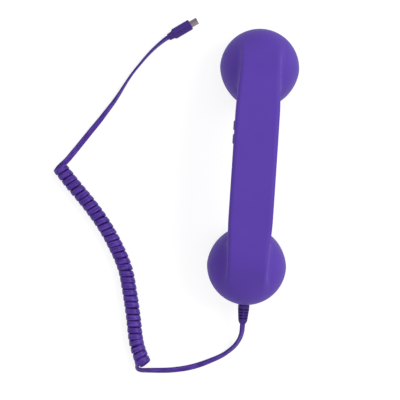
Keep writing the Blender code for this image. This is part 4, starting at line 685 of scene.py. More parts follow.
elastomer = {"IOR": 1.50, "Specular IOR Level": 0.25}
cord_jacket, tree, shader, _ = start_finish("extruded_elastomer_satin", elastomer)
across = add_node(tree, "ShaderNodeAttribute", attribute_name="across").outputs["Fac"]
along = add_node(tree, "ShaderNodeAttribute", attribute_name="along").outputs["Fac"]
jacket = run_sums(tree, {"across": across, "along": along}, f"""
    streak_along = along, MULTIPLY {1000.0 / STREAK_LENGTH_MM}
    streak_across = across, MULTIPLY {STREAKS_TO_AN_EDGE}
    valley = across, MULTIPLY {2 * math.pi}, COSINE, MULTIPLY_ADD 0.5 0.5
    edge = across, ABSOLUTE
""")
streak_place = add_node(tree, "ShaderNodeCombineXYZ", {0: jacket["streak_along"], 1: jacket["streak_across"]})
streaks = add_node(tree, "ShaderNodeTexNoise", {"Vector": streak_place, "Scale": 1.0, "Detail": 4.0})
jacket["streaks"] = streaks
# The streaks lighten the colour, a painted highlight. The edges and the middle valley darken it, a painted
# shade.
jacket["bright"] = add_node(tree, "ShaderNodeMapRange", {0: streaks, 1: 0.36, 2: 0.64})
edge_limits = {0: jacket["edge"], 1: 0.55, 2: 1.0, 3: 1.0, 4: PAINTED_EDGE_SHADE}
jacket["edge_shade"] = add_node(tree, "ShaderNodeMapRange", edge_limits)
run_sums(tree, jacket, f"""
    valley_shade = valley, MULTIPLY_ADD {-PAINTED_VALLEY_SHADE} 1
    tone = bright, MULTIPLY edge_shade, MULTIPLY valley_shade
    low = valley, MULTIPLY -0.6
    height = streaks, MULTIPLY_ADD 0.5 low
""")
tones = ("#35197A", "#6642AD")
set_surface(tree, shader, tones, jacket["tone"], jacket["height"], 0.7, 0.12, (0.36, 0.50), streaks)

# Darker colours than the cord's: a painted shade on the boot and the grip.
moulded_elastomer = grained(
    "moulded_elastomer_matt", elastomer, ("#39206F", "#4B2F8B"), 4.0, (0.44, 0.58), 0.35, 0.020
)

# %% [markdown]
# The metals: the plug's shell is stamped sheet steel with a nickel plate that looks warm grey, and the
# ballast bar and screws are zinc plated, a cooler and duller grey. A stretched noise draws the fine lines
# of the rolled sheet, 0.12 mm apart, along the plug.

# %% Plated metals
metal = {"Metallic": 1.0}
rolled = {"Rotation": (0.0, 0.0, -PLUG_HEADING), "Scale": (0.08, 1.0, 1.0)}
plug_nickel = grained(
    "nickel_plated_stamped_steel", metal, ("#8E8084", "#A2969A"), 1.6, (0.24, 0.38), 0.12, 0.003, rolled
)
zinc_plate = grained("zinc_plated_steel", metal, ("#A9ABAE", "#BFC1C3"), 3.0, (0.32, 0.48), 0.25, 0.005)
dark_plate = grained(
    "black_nickel_plated_magnet", metal, ("#4A4A4E", "#5B5B60"), 4.0, (0.25, 0.35), 0.30, 0.003
)

# %% [markdown]
# The hidden parts get their own plain finishes. The solder mask on the board is a glossy coat over glass
# fibre, the moulded nylon housings are half matt, and rubber has a weak sheen. The speaker's diaphragm is a
# formed film that lets some light through. The foam of the gasket has cells near 0.5 mm, drawn by a cell
# pattern.

# %% Finishes of the hidden parts
FOAM_CELL_MM = 0.5

solder_mask = grained(
    "solder_mask_on_glass_epoxy", {"IOR": 1.50, "Coat Weight": 0.3},
    ("#0F4A2A", "#155C35"), 5.0, (0.28, 0.40), 0.50, 0.010,
)
black_plastic = grained(
    "moulded_black_nylon", {"IOR": 1.53}, ("#1B1B1D", "#242427"), 3.0, (0.45, 0.60), 0.20, 0.008
)
white_plastic = grained(
    "moulded_white_nylon", {"IOR": 1.53}, ("#DAD6C8", "#E6E2D6"), 3.0, (0.35, 0.48), 0.25, 0.006
)
formed_film = grained(
    "formed_polyester_film", {"IOR": 1.57, "Transmission Weight": 0.35, "Coat Weight": 0.2},
    ("#C9BE96", "#DCD2AE"), 4.0, (0.18, 0.28), 0.60, 0.004,
)
black_rubber = grained(
    "soft_black_rubber", {"IOR": 1.52, "Sheen Weight": 0.1},
    ("#222224", "#2D2D30"), 2.5, (0.60, 0.75), 0.20, 0.008,
)
wire_jacket = grained(
    "grey_wire_jacket", {"IOR": 1.50}, ("#838389", "#94949B"), 4.0, (0.35, 0.45), 0.40, 0.004
)
foam = {"IOR": 1.45, "Specular IOR Level": 0.2, "Roughness": 0.9}
foam_finish, tree, shader, place = start_finish("closed_cell_foam", foam)
cells = add_node(tree, "ShaderNodeTexVoronoi", {"Vector": place, "Scale": 1000.0 / FOAM_CELL_MM})
set_surface(tree, shader, ("#1E1E20", "#303034"), cells, cells, 0.8, 0.12)
print("Materials:", [material.name for material in bpy.data.materials])

# %% [markdown]
# ## Helpers for solid pieces
# The smaller pieces are lofts: rings of points, joined in order. A turned piece is a loft of circles. Cuts
# are made with Boolean modifiers, whose result becomes a plain mesh. A finished piece sits at the origin,
# like a CAD node, rides on its body and stands for its node.

# %% Lofts, cuts and finished pieces
SMOOTH_LIMIT = math.radians(32.0)


def smooth_faces(mesh, limit=SMOOTH_LIMIT):
    mesh.shade_smooth()
    mesh.set_sharp_from_angle(angle=limit)
    return mesh


def loft(name, rings, place=Matrix(), closed=False):
    """A solid through rings of equal count, with flat ends, or joined back to its first ring if closed."""
    solid = bmesh.new()
    rows = [[solid.verts.new(place @ Vector(point)) for point in ring] for ring in rings]
    count = len(rows[0])
    for near, far in zip(rows, rows[1:] + rows[:1] if closed else rows[1:]):
        for k in range(count):
            n = (k + 1) % count
            solid.faces.new((near[k], near[n], far[n], far[k]))
    if not closed:
        solid.faces.new(rows[0][::-1])
        solid.faces.new(rows[-1])
    bmesh.ops.remove_doubles(solid, verts=solid.verts, dist=1e-7)
    bmesh.ops.recalc_face_normals(solid, faces=solid.faces)
    mesh = bpy.data.meshes.new(name)
    solid.to_mesh(mesh)
    solid.free()
    return smooth_faces(mesh)


def turned(name, profile, segments, place=Matrix(), closed=True):
    """A solid of revolution about Z from (radius, height) points."""
    turns = [2 * math.pi * (k + 0.5) / segments for k in range(segments)]
    rings = [[(r * math.cos(t), r * math.sin(t), h) for t in turns] for r, h in profile]
    return loft(name, rings, place, closed)


def quarter_turns(steps):
    """The sine and cosine of each of the angles that divide a quarter turn."""
    return [(math.sin(math.pi / 2 * k / steps), math.cos(math.pi / 2 * k / steps)) for k in range(steps + 1)]


def bar_ring(x, width, height, corner, middle=(0.0, 0.0), steps=8):
    """Points of a rounded rectangle that stands across the X axis, about a middle point."""
    corner = min(corner, width / 2 - 1e-6, height / 2 - 1e-6)
    points = []
    for quarter, (side_u, side_v) in enumerate(((1, 1), (-1, 1), (-1, -1), (1, -1))):
        for step in range(steps + 1):
            turn = math.pi / 2 * (quarter + step / steps)
            u = side_u * (width / 2 - corner) + corner * math.cos(turn)
            v = side_v * (height / 2 - corner) + corner * math.sin(turn)
            points.append((x, middle[0] + u, middle[1] + v))
    return points


def carve(mesh, cuts):
    """The mesh after each (operation, other mesh) in turn."""
    carved = new_object("carved", mesh)
    cutters = []
    for operation, other in cuts:
        cutters.append(new_object("cutter", other))
        modifier = carved.modifiers.new(operation, "BOOLEAN")
        modifier.operation = operation
        modifier.object = cutters[-1]
        modifier.solver = "MANIFOLD"
    return smooth_faces(finished_mesh(carved, *cutters))


def add_piece(name, mesh, material, slot, body, *nodes):
    """A finished piece on its body, in the place of its CAD nodes."""
    mesh.materials.clear()
    mesh.materials.append(material)
    piece = new_object(name, mesh)
    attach(piece, body)
    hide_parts(*nodes)
    print(name + ":", len(mesh.vertices), "points,", len(mesh.polygons), "faces")
    return piece


# %% [markdown]
# ## The cord as a piece
# The strip that the tree sweeps is one piece in place of three CAD solids.

# %% The curly cord
cord_line = line_mesh("cord_line", cord_points, facing=cord_facings, along=lengths_along(cord_points))
sizes = {"Width": CORD_WIDTH, "Thickness": CORD_THICKNESS, "Roundness": CORD_ROUNDNESS}
strip = run_tree("cord_strip", sweep, {**sizes, "Material": cord_jacket}, cord_line)
cord_nodes = ("cord_lead_handset", "cord_coil", "cord_lead_plug")
cord = add_piece("curly_cord", strip, cord_jacket, "cord_jacket", "handset", *cord_nodes)

# %% [markdown]
# ## The two shells
# The skin's outer and inner sides come from the same tree with two insets. Bridging their rims closes the
# wall. The real shells part along the handle's underside, so one block cuts the cover out of the skin, and
# the same block without its gap cuts the opening into the back.

# %% The closed skin
OUTER_GRID = {"Rings": 221, "Rays": 240, "Inset": 0.0}
INNER_GRID = {"Rings": 121, "Rays": 120, "Inset": WALL}

wall = bmesh.new()
for name, grid in (("outer_skin", OUTER_GRID), ("inner_skin", INNER_GRID)):
    wall.from_mesh(run_tree(name, skin_tree, {**grid, "Material": soft_touch}))
for end in (1.0, -1.0):
    rims = [edge for edge in wall.edges if edge.is_boundary and edge.verts[0].co.y * end > 0]
    bmesh.ops.bridge_loops(wall, edges=rims)
bmesh.ops.recalc_face_normals(wall, faces=wall.faces)
skin = bpy.data.meshes.new("skin")
wall.to_mesh(skin)
print("Skin:", len(wall.faces), "faces, open edges:", sum(edge.is_boundary for edge in wall.edges))
wall.free()

# %% The block of the cover and the slots of the keys
COVER_HEIGHT = 0.0060
CUT_MARGIN = 0.0020
END_BOW = 0.0007
BLOCK_RINGS = 25
BLOCK_POINTS = 61
KEY_END_DISTANCE = 0.0092
KEY_PITCH = 0.0099
KEY_LENGTH = 0.0072
KEY_HEIGHT = 0.0044
KEY_CORNER = 0.0016
KEY_PROUD = 0.00085
KEY_BELOW_TOP = 0.0108
SLOT_CHAMFER = 0.00025
KEY_PLACES = {"up": FAN_Y - KEY_END_DISTANCE, "down": FAN_Y - KEY_END_DISTANCE - KEY_PITCH}
KEY_Z = arch_z(sum(KEY_PLACES.values()) / 2) - KEY_BELOW_TOP
SIDE_X = HANDLE_WIDTH / 2


def cover_block(inset):
    """The block that holds the cover: its top follows the arch and its ends bow out towards the middle."""
    top = HANDLE_THICKNESS - COVER_HEIGHT + inset
    rings = []
    for x in np.linspace(-SIDE_X - CUT_MARGIN, SIDE_X + CUT_MARGIN, BLOCK_RINGS):
        half = FAN_Y - inset + END_BOW * max(0.0, 1.0 - (x / SIDE_X) ** 2)
        ys = np.linspace(half, -half, BLOCK_POINTS)
        ring = [(x, y, arch_z(y, top)) for y in ys]
        rings.append(ring + [(x, y, arch_z(y, HANDLE_THICKNESS + 2 * CUT_MARGIN)) for y in ys[::-1]])
    return loft("cover_block", rings)


def key_ring(x, y, grow):
    """A key's outline at one place along X, grown all round."""
    return bar_ring(x, KEY_LENGTH + 2 * grow, KEY_HEIGHT + 2 * grow, KEY_CORNER + grow, (y, KEY_Z))


def key_slot(y):
    """The slot of a key, with a small chamfer where it leaves the wall."""
    wide = GAP + SLOT_CHAMFER
    sections = [(-CUT_MARGIN, wide), (0.0, wide), (SLOT_CHAMFER, GAP), (WALL + CUT_MARGIN, GAP)]
    return loft("key_slot", [key_ring(depth - SIDE_X, y, grow) for depth, grow in sections])


# %% [markdown]
# Inside, four bosses hang from the back: the middle two take the board's screws and the outer two the
# cover's. The cover carries a tab with a screw hole at each end, and two low fences that keep the ballast
# bar in place. A locating rib behind each end seam, on a root that joins it to the cover, centres the cover
# and keeps light from showing through the seam.

# %% Bosses, tabs and fences
BOSS_RADIUS = 0.0033
BOSS_HOLE_DEPTH = 0.0070
SCREW_HOLE_RADIUS = 0.0012 + GAP
HOLE_SEGMENTS = 40
TAB_WIDTH = 0.0100
TAB_THICKNESS = 0.0020
TAB_ROOT = 0.0060
TAB_FOOT_INSET = 0.0005
TAB_END_MARGIN = 0.0042
COVER_SCREW_Y = SEAM_Y - 0.0173
FENCE_THICKNESS = 0.0016
FENCE_HEIGHT = 0.0030
LOCATING_RIB = 0.0010
RIB_STEP = 0.0001
RIB_OVERLAP = 0.0005
BALLAST_WIDTH = 0.0180
BALLAST_LENGTH = 2 * FAN_Y - 0.0220
SWITCH_HEIGHT = 0.0035
BOARD_LENGTH = 2 * FAN_Y - 0.0100
BOARD_CENTRE_Y = 0.0030
BOARD_TOP = KEY_Z - SWITCH_HEIGHT / 2 - GAP
BOARD_SCREWS = (BOARD_CENTRE_Y + 0.15 * BOARD_LENGTH, BOARD_CENTRE_Y - BOARD_LENGTH / 2 + 0.0110)
TAB_BOTTOM = arch_z(FAN_Y, HANDLE_THICKNESS - WALL) + GAP
TAB_TOP = TAB_BOTTOM + TAB_THICKNESS


def boss(y, bottom):
    """A boss from the back's inside down to a height, with its blind hole."""
    top = arch_z(y) - WALL / 2
    hole_top = bottom + BOSS_HOLE_DEPTH
    profile = [(SCREW_HOLE_RADIUS, bottom), (BOSS_RADIUS, bottom), (BOSS_RADIUS, top), (0.0, top)]
    profile += [(0.0, hole_top), (SCREW_HOLE_RADIUS, hole_top)]
    return turned("boss", profile, HOLE_SEGMENTS, Matrix.Translation((0.0, y, 0.0)))


def end_box(end, half_width, ys, zs):
    """A box to add across the middle plane, at one end of the handle or the other."""
    low_y, high_y = sorted((end * ys[0], end * ys[1]))
    outline = [(-half_width, low_y), (half_width, low_y), (half_width, high_y), (-half_width, high_y)]
    return "UNION", loft("box", [[(x, y, z) for x, y in outline] for z in zs])


cover_end = FAN_Y - GAP
tab_root_y = cover_end - TAB_ROOT
tab_ys = (tab_root_y, COVER_SCREW_Y + TAB_END_MARGIN)
foot_ys = (tab_root_y + TAB_FOOT_INSET, cover_end - TAB_FOOT_INSET)
foot_zs = (arch_z(tab_root_y, HANDLE_THICKNESS - WALL / 2) - TAB_FOOT_INSET, TAB_TOP - TAB_FOOT_INSET)
fence_ys = (BALLAST_LENGTH / 2 + GAP, BALLAST_LENGTH / 2 + GAP + FENCE_THICKNESS)
fence_floor = arch_z(sum(fence_ys) / 2, HANDLE_THICKNESS - WALL)
fence_zs = (fence_floor - WALL / 2, fence_floor + FENCE_HEIGHT)
rib_ys = (cover_end - LOCATING_RIB, cover_end + LOCATING_RIB)
rib_zs = (TAB_BOTTOM + RIB_STEP, arch_z(FAN_Y, HANDLE_THICKNESS - COVER_HEIGHT))
root_ys = (cover_end - LOCATING_RIB + RIB_STEP, cover_end - RIB_STEP)
root_zs = (arch_z(FAN_Y, HANDLE_THICKNESS - WALL / 2), TAB_BOTTOM + RIB_OVERLAP)
hole_profile = [(SCREW_HOLE_RADIUS, TAB_BOTTOM - CUT_MARGIN), (SCREW_HOLE_RADIUS, TAB_TOP + CUT_MARGIN)]
bosses = [("UNION", boss(y, BOARD_TOP + GAP)) for y in BOARD_SCREWS]
bosses += [("UNION", boss(end * COVER_SCREW_Y, TAB_TOP + GAP)) for end in (1.0, -1.0)]
fittings = []
for end in (1.0, -1.0):
    hole_place = Matrix.Translation((0.0, end * COVER_SCREW_Y, 0.0))
    fittings += [
        end_box(end, TAB_WIDTH / 2, tab_ys, (TAB_BOTTOM, TAB_TOP)),
        end_box(end, TAB_WIDTH / 2 - TAB_FOOT_INSET, foot_ys, foot_zs),
        ("DIFFERENCE", turned("hole", hole_profile, HOLE_SEGMENTS, hole_place, closed=False)),
        end_box(end, BALLAST_WIDTH / 2, fence_ys, fence_zs),
        end_box(end, SIDE_X - WALL - 2 * GAP, rib_ys, rib_zs),
        end_box(end, SIDE_X - WALL - 3 * GAP, root_ys, root_zs),
    ]
print("Cover screws at y = ±", round(COVER_SCREW_Y * 1000, 2), "mm")
print("Board screws at y =", [round(y * 1000, 2) for y in BOARD_SCREWS], "mm")

# %% The back
BOOT_ROOT_DIAMETER = 0.0085
CORD_HOLE_SEGMENTS = 64

exit_turn = Matrix(((1.0, 0.0, 0.0), Vector(exit_axis).cross(Vector((1.0, 0.0, 0.0))), Vector(exit_axis)))
exit_place = Matrix.Translation(Vector(exit_point)) @ exit_turn.transposed().to_4x4()
exit_radius = BOOT_ROOT_DIAMETER / 2 + GAP
exit_reach = WALL + 2 * CUT_MARGIN
exit_profile = [(exit_radius, -exit_reach), (exit_radius, exit_reach)]
cord_hole = turned("cord_hole", exit_profile, CORD_HOLE_SEGMENTS, exit_place, closed=False)
cuts = [("DIFFERENCE", cover_block(0.0)), ("DIFFERENCE", cord_hole), *bosses]
cuts += [("DIFFERENCE", key_slot(y)) for y in KEY_PLACES.values()]
add_piece("handset_back", carve(skin, cuts), soft_touch, "soft_touch_plastic", "handset", "rear_shell")

# %% The cover of the underside
cover = carve(skin, [("INTERSECT", cover_block(GAP)), *fittings])
add_piece("handle_cover", cover, soft_touch, "soft_touch_plastic", "handset", "front_shell")

# %% [markdown]
# ## The ear and mouth caps
# Each cap is a turned moulding: a rounded edge, a dished face, a skirt that plugs into the bell and a seat
# for what it carries. The face is pierced by round holes in rings of six. Boolean cutters could be placed
# one by one, but the pattern follows a rule, so a tree makes the ring pattern, puts a drill on each point
# and cuts them all.

# %% The tree that pierces a cap
DRILL_SEGMENTS = 28
DRILL_LENGTH = 0.03

inputs = {"Cap": "Geometry", "Rings": "Int", "Pitch": "Float", "Diameter": "Float"}
pierce, given = new_tree("pierce a cap with rings of holes", inputs)
middle = add_node(pierce, "GeometryNodeMeshLine", {"Count": 1})
ring_in = add_node(pierce, "GeometryNodeRepeatInput")
ring_out = add_node(pierce, "GeometryNodeRepeatOutput")
ring_in.pair_with_output(ring_out)
pierce.links.new(given["Rings"], ring_in.inputs["Iterations"])
pierce.links.new(middle.outputs[0], ring_in.inputs["Geometry"])
values = {"index": ring_in.outputs["Iteration"], "pitch": given["Pitch"], "diameter": given["Diameter"]}
run_sums(pierce, values, """
    ring = index, ADD 1
    count = ring, MULTIPLY 6
    reach = ring, MULTIPLY pitch
    radius = diameter, MULTIPLY 0.5
""")
circle = add_node(pierce, "GeometryNodeMeshCircle", {0: values["count"], 1: values["reach"]})
joined = add_node(pierce, "GeometryNodeJoinGeometry", {0: circle})
pierce.links.new(ring_in.outputs["Geometry"], joined.inputs[0])
pierce.links.new(joined.outputs[0], ring_out.inputs["Geometry"])
drill_sizes = {0: DRILL_SEGMENTS, 3: values["radius"], 4: DRILL_LENGTH}
drill = add_node(pierce, "GeometryNodeMeshCylinder", drill_sizes)
drills = add_node(pierce, "GeometryNodeInstanceOnPoints", {0: ring_out.outputs["Geometry"], 2: drill})
real_drills = add_node(pierce, "GeometryNodeRealizeInstances", {0: drills})
blank = {0: given["Cap"], 1: real_drills}
pierced = add_node(pierce, "GeometryNodeMeshBoolean", blank, operation="DIFFERENCE", solver="MANIFOLD")
end_tree(pierce, pierced, given["Material"])

# %% The caps
CAP_EDGE_RADIUS = 0.0030
CAP_EDGE_STEPS = 14
CAP_FLOOR = 0.0026
CAP_FLOOR_TOP = CAP_FLOOR - CAP_HEIGHT
CAP_SKIRT = 0.0016
CAP_SKIRT_HEIGHT = 0.0035
CAP_DISH_RADIUS = 0.0165
CAP_DISH_SLOPE = 0.0030
CAP_DISH_DEPTH = 0.0010
CAP_DISH_STEPS = 13
CAP_SEGMENTS = 144
SEAT_RING_WALL = 0.0015
RIM_ROUND = 0.0002
RIM_MIDDLE = RIM_ROUND * 0.3
SPEAKER_DIAMETER = 0.0330
SPEAKER_FLANGE = 0.0012
GASKET_THICKNESS = 0.0012
MIC_DIAMETER = 0.0097
MIC_BOOT_WALL = 0.0011
MIC_HEIGHT = 0.0045
SPEAKER_SEAT = SPEAKER_DIAMETER / 2 + GAP
SPEAKER_SEAT_HEIGHT = CAP_FLOOR_TOP + 2 * GAP + GASKET_THICKNESS + SPEAKER_FLANGE
MIC_SEAT = MIC_DIAMETER / 2 + 2 * GAP + MIC_BOOT_WALL
MIC_SEAT_HEIGHT = CAP_FLOOR_TOP + MIC_HEIGHT


def eased(share):
    """A share from 0 to 1 that starts and ends gently."""
    return share * share * (3 - 2 * share)


def cap_profile(seat_radius, seat_height):
    """The cap's section as (radius, height) points: out from the seam, round the edge, and back inside."""
    skirt_outer = SEAM_RADIUS - WALL - GAP
    edge_middle = SEAM_RADIUS - CAP_EDGE_RADIUS, CAP_EDGE_RADIUS - CAP_HEIGHT
    profile = [(SEAM_RADIUS - RIM_ROUND, -GAP), (SEAM_RADIUS - RIM_MIDDLE, -GAP - RIM_MIDDLE)]
    profile.append((SEAM_RADIUS, -GAP - RIM_ROUND))
    for sine, cosine in quarter_turns(CAP_EDGE_STEPS):
        profile.append((edge_middle[0] + CAP_EDGE_RADIUS * cosine, edge_middle[1] - CAP_EDGE_RADIUS * sine))
    for share in np.linspace(0.0, 1.0, CAP_DISH_STEPS):
        profile.append((CAP_DISH_RADIUS - CAP_DISH_SLOPE * share, CAP_DISH_DEPTH * eased(share) - CAP_HEIGHT))
    profile += [
        (0.0, CAP_DISH_DEPTH - CAP_HEIGHT),
        (0.0, CAP_FLOOR_TOP),
        (seat_radius, CAP_FLOOR_TOP),
        (seat_radius, seat_height),
        (seat_radius + SEAT_RING_WALL, seat_height),
        (seat_radius + SEAT_RING_WALL, CAP_FLOOR_TOP),
        (skirt_outer - CAP_SKIRT, CAP_FLOOR_TOP),
        (skirt_outer - CAP_SKIRT, CAP_SKIRT_HEIGHT),
        (skirt_outer, CAP_SKIRT_HEIGHT),
        (skirt_outer, -GAP),
    ]
    return profile


def cap_place(end):
    """A seam's frame: Z up into the tilted bell, X towards the handset's end."""
    axis = Vector((0.0, end * SIN_TILT, COS_TILT))
    outward = Vector((0.0, end * COS_TILT, -SIN_TILT))
    turn = Matrix((outward, axis.cross(outward), axis)).transposed().to_4x4()
    return Matrix.Translation((0.0, end * SEAM_Y, SEAM_Z)) @ turn


for end, name, seat, seat_height, rings, pitch, diameter in (
    (1.0, "ear_cap", SPEAKER_SEAT, SPEAKER_SEAT_HEIGHT, 2, 0.0046, 0.0024),
    (-1.0, "mouth_cap", MIC_SEAT, MIC_SEAT_HEIGHT, 1, 0.0042, 0.0020),
):
    blank = turned(name, cap_profile(seat, seat_height), CAP_SEGMENTS)
    holes = {"Rings": rings, "Pitch": pitch, "Diameter": diameter, "Material": soft_touch}
    cap = run_tree(name, pierce, holes, blank)
    cap.transform(cap_place(end))
    add_piece(name + "_pierced", smooth_faces(cap), soft_touch, "soft_touch_plastic", "handset", name)

# %% [markdown]
# ## The volume keys
# Each key is a small pill that stands 0.85 mm out of the handle's side, with a flange behind the wall that
# keeps it in its slot and a stem that reaches its switch. A bevelled cube could pass for the face, but a
# loft of rounded rectangles also gives the flange and the stem.

# %% The keys
KEY_FLANGE = 0.0007
KEY_FLANGE_THICKNESS = 0.0010
KEY_STEM = 0.0026
KEY_STEM_CORNER = KEY_STEM * 0.35
KEY_STEM_END = -0.0115
KEY_EDGE_ROUND = 0.0007
KEY_EDGE_STEPS = 8
KEY_CROWN = 0.00012
KEY_CROWN_RINGS = ((0.0, -0.0014), (0.35, -0.0010))

key_face = -SIDE_X - KEY_PROUD
flange_out = -SIDE_X + WALL + GAP
flange_in = flange_out + KEY_FLANGE_THICKNESS
key_sections = [(key_face + KEY_CROWN * share, grow) for share, grow in KEY_CROWN_RINGS]
for sine, cosine in quarter_turns(KEY_EDGE_STEPS):
    depth = key_face + KEY_CROWN + KEY_EDGE_ROUND * (1 - cosine)
    key_sections.append((depth, -KEY_EDGE_ROUND * (1 - sine)))
key_sections += [(flange_out, 0.0), (flange_out, KEY_FLANGE), (flange_in, KEY_FLANGE)]
for name, y in KEY_PLACES.items():
    rings = [key_ring(x, y, grow) for x, grow in key_sections]
    stem_ends = (flange_in, KEY_STEM_END)
    rings += [bar_ring(x, KEY_STEM, KEY_STEM, KEY_STEM_CORNER, (y, KEY_Z)) for x in stem_ends]
    key = loft("key_" + name, rings)
    body = "volume_" + name
    add_piece("pill_key_" + name, key, key_plastic, "key_plastic", body, body + "_key")

# %% [markdown]
# ## The strain relief
# The boot at the cord's exit is moulded elastomer. Four rows of slots let it bend evenly. Between the slots
# a rail on each side and a thin rib above and below keep it whole. Its form is a rule: a radius for each
# place along the axis, and a slot depth that fades out at the rails and ribs. So a tree sweeps a circle
# along a line that carries both numbers, then presses the slots in.

# %% The boot's line of numbers
BOOT_TIP_DIAMETER = 0.0068
BOOT_END_DIAMETER = 0.0044
BOOT_COLLAR = 0.0033
BOOT_COLLAR_STEPS = 12
BOOT_SLOT_PITCH = 0.0022
BOOT_SLOT_ROWS = 4
BOOT_SLOT_DEPTH = 0.0019
BOOT_SLOT_START = 0.01
BOOT_SLOT_END = 0.50
BOOT_SLOT_EDGE = 0.05
BOOT_SLOT_STEPS = 120
BOOT_RIB_ANGLE = math.radians(5.0)
BOOT_RAIL_ANGLE = math.radians(20.0)
BOOT_SLOT_END_ANGLE = math.radians(6.0)
BOOT_CONE = 0.0027
BOOT_CONE_STEPS = 10
BOOT_NECK_START = -0.0003
BOOT_NECK_LENGTH = 0.0007
BOOT_NECK_DEPTH = 0.0005
BOOT_NECK_EDGE = 0.0001
BOOT_FLANGE_DIAMETER = 0.0102
BOOT_FLANGE_THICKNESS = 0.0014
BOOT_FLANGE_PLAY = 0.0011
BOOT_EDGE = 0.0003
BOOT_COLLAR_ROUND = 0.00008
BOOT_CONE_CURVE = 1.6
BOOT_STEP = 0.00001

root, tip, flange = BOOT_ROOT_DIAMETER / 2, BOOT_TIP_DIAMETER / 2, BOOT_FLANGE_DIAMETER / 2
wall_bulge = BELL_RADIUS - math.sqrt(BELL_RADIUS**2 - flange**2)
flange_out = -(WALL + wall_bulge + BOOT_FLANGE_PLAY)
boot_start = flange_out - BOOT_FLANGE_THICKNESS
slotted = BOOT_SLOT_ROWS * BOOT_SLOT_PITCH

# Each row is a place along the axis, the radius there and the depth of a slot there.
boot_rows = [
    (boot_start, flange - BOOT_EDGE, 0.0),
    (boot_start + BOOT_EDGE, flange, 0.0),
    (flange_out - BOOT_STEP, flange, 0.0),
    (flange_out, root, 0.0),
    (BOOT_NECK_START, root, 0.0),
    (BOOT_NECK_START + BOOT_NECK_EDGE, root - BOOT_NECK_DEPTH, 0.0),
    (BOOT_NECK_LENGTH, root - BOOT_NECK_DEPTH, 0.0),
]
for place in np.linspace(BOOT_NECK_LENGTH + BOOT_NECK_EDGE, BOOT_COLLAR, BOOT_COLLAR_STEPS):
    boot_rows.append((place, root - BOOT_COLLAR_ROUND * (place / BOOT_COLLAR) ** 6, 0.0))
for place in np.linspace(BOOT_COLLAR, BOOT_COLLAR + slotted, BOOT_SLOT_STEPS)[1:]:
    share = (place - BOOT_COLLAR) / slotted
    in_pitch = (share * BOOT_SLOT_ROWS) % 1.0
    rise = np.clip((in_pitch - BOOT_SLOT_START) / BOOT_SLOT_EDGE, 0.0, 1.0)
    rise = rise * np.clip((BOOT_SLOT_END - in_pitch) / BOOT_SLOT_EDGE, 0.0, 1.0)
    boot_rows.append((place, root + (tip - root) * share, BOOT_SLOT_DEPTH * eased(rise)))
for share in np.linspace(0.0, 1.0, BOOT_CONE_STEPS)[1:]:
    radius = tip + (BOOT_END_DIAMETER / 2 - tip) * share**BOOT_CONE_CURVE
    boot_rows.append((BOOT_COLLAR + slotted + BOOT_CONE * share, radius, 0.0))
places, radii, slot_depths = np.array(boot_rows).T
boot_line = line_mesh("boot_line", [(0.0, 0.0, z) for z in places], radius_here=radii, slot_depth=slot_depths)

# %% The tree that turns the boot and presses its slots in
inputs = {"Line": "Geometry", "Segments": "Int", "Rib Angle": "Float", "Rail Angle": "Float"}
press, given = new_tree("turn a boot and press slots into its sides", inputs)
line = add_node(press, "GeometryNodeMeshToCurve", {0: given["Line"]})
radius_here = add_node(press, "GeometryNodeInputNamedAttribute", {"Name": "radius_here"}, data_type="FLOAT")
circle = add_node(press, "GeometryNodeCurvePrimitiveCircle", {"Resolution": given["Segments"], "Radius": 1.0})
swept = {0: line, 1: circle, "Scale": radius_here, "Fill Caps": True}
turned_boot = add_node(press, "GeometryNodeCurveToMesh", swept)
where = add_node(press, "GeometryNodeInputPosition")
split = add_node(press, "ShaderNodeSeparateXYZ", {0: where})
values = {"x": split.outputs[0], "y": split.outputs[1]}
values |= {"rib": given["Rib Angle"], "rail": given["Rail Angle"]}
run_sums(press, values, """
    x_size = x, ABSOLUTE
    y_size = y, ABSOLUTE
    past_rib = x_size, ARCTAN2 y_size, SUBTRACT rib
    open = y_size, ARCTAN2 x_size, SUBTRACT rail, MINIMUM past_rib
""")
slot_depth = add_node(press, "GeometryNodeInputNamedAttribute", {"Name": "slot_depth"}, data_type="FLOAT")
fade = {0: values["open"], 1: 0.0, 2: BOOT_SLOT_END_ANGLE, 3: 0.0, 4: slot_depth}
pressed = add_node(press, "ShaderNodeMapRange", fade, interpolation_type="SMOOTHSTEP")
outwards = add_node(press, "ShaderNodeCombineXYZ", {0: values["x"], 1: values["y"]})
outward_unit = add_node(press, "ShaderNodeVectorMath", {0: outwards}, operation="NORMALIZE")
inward = add_node(press, "ShaderNodeMath", {0: pressed, 1: -1.0}, operation="MULTIPLY")
shift = add_node(press, "ShaderNodeVectorMath", {0: outward_unit, "Scale": inward}, operation="SCALE")
slotted_boot = add_node(press, "GeometryNodeSetPosition", {0: turned_boot, "Offset": shift})
smooth = add_node(press, "GeometryNodeSetShadeSmooth", {0: slotted_boot})
end_tree(press, smooth, given["Material"])

# %% The boot
BOOT_SEGMENTS = 96
BOOT_SMOOTH_LIMIT = math.radians(50.0)

sizes = {"Segments": BOOT_SEGMENTS, "Rib Angle": BOOT_RIB_ANGLE, "Rail Angle": BOOT_RAIL_ANGLE}
boot = run_tree("boot", press, {**sizes, "Material": moulded_elastomer}, boot_line)
boot.transform(exit_place)
boot.set_sharp_from_angle(angle=BOOT_SMOOTH_LIMIT)
add_piece("grooved_boot", boot, moulded_elastomer, "cord_jacket", "handset", "strain_relief")

# %% [markdown]
# ## The data plug
# The grip is moulded over the plug: a rounded bar with a short neck that the cord enters. The shell is
# stamped from 0.3 mm sheet and bent into a D. Both are lofts along the plug's own axis, which lies rolled
# on its side, with one wide face towards the floor.

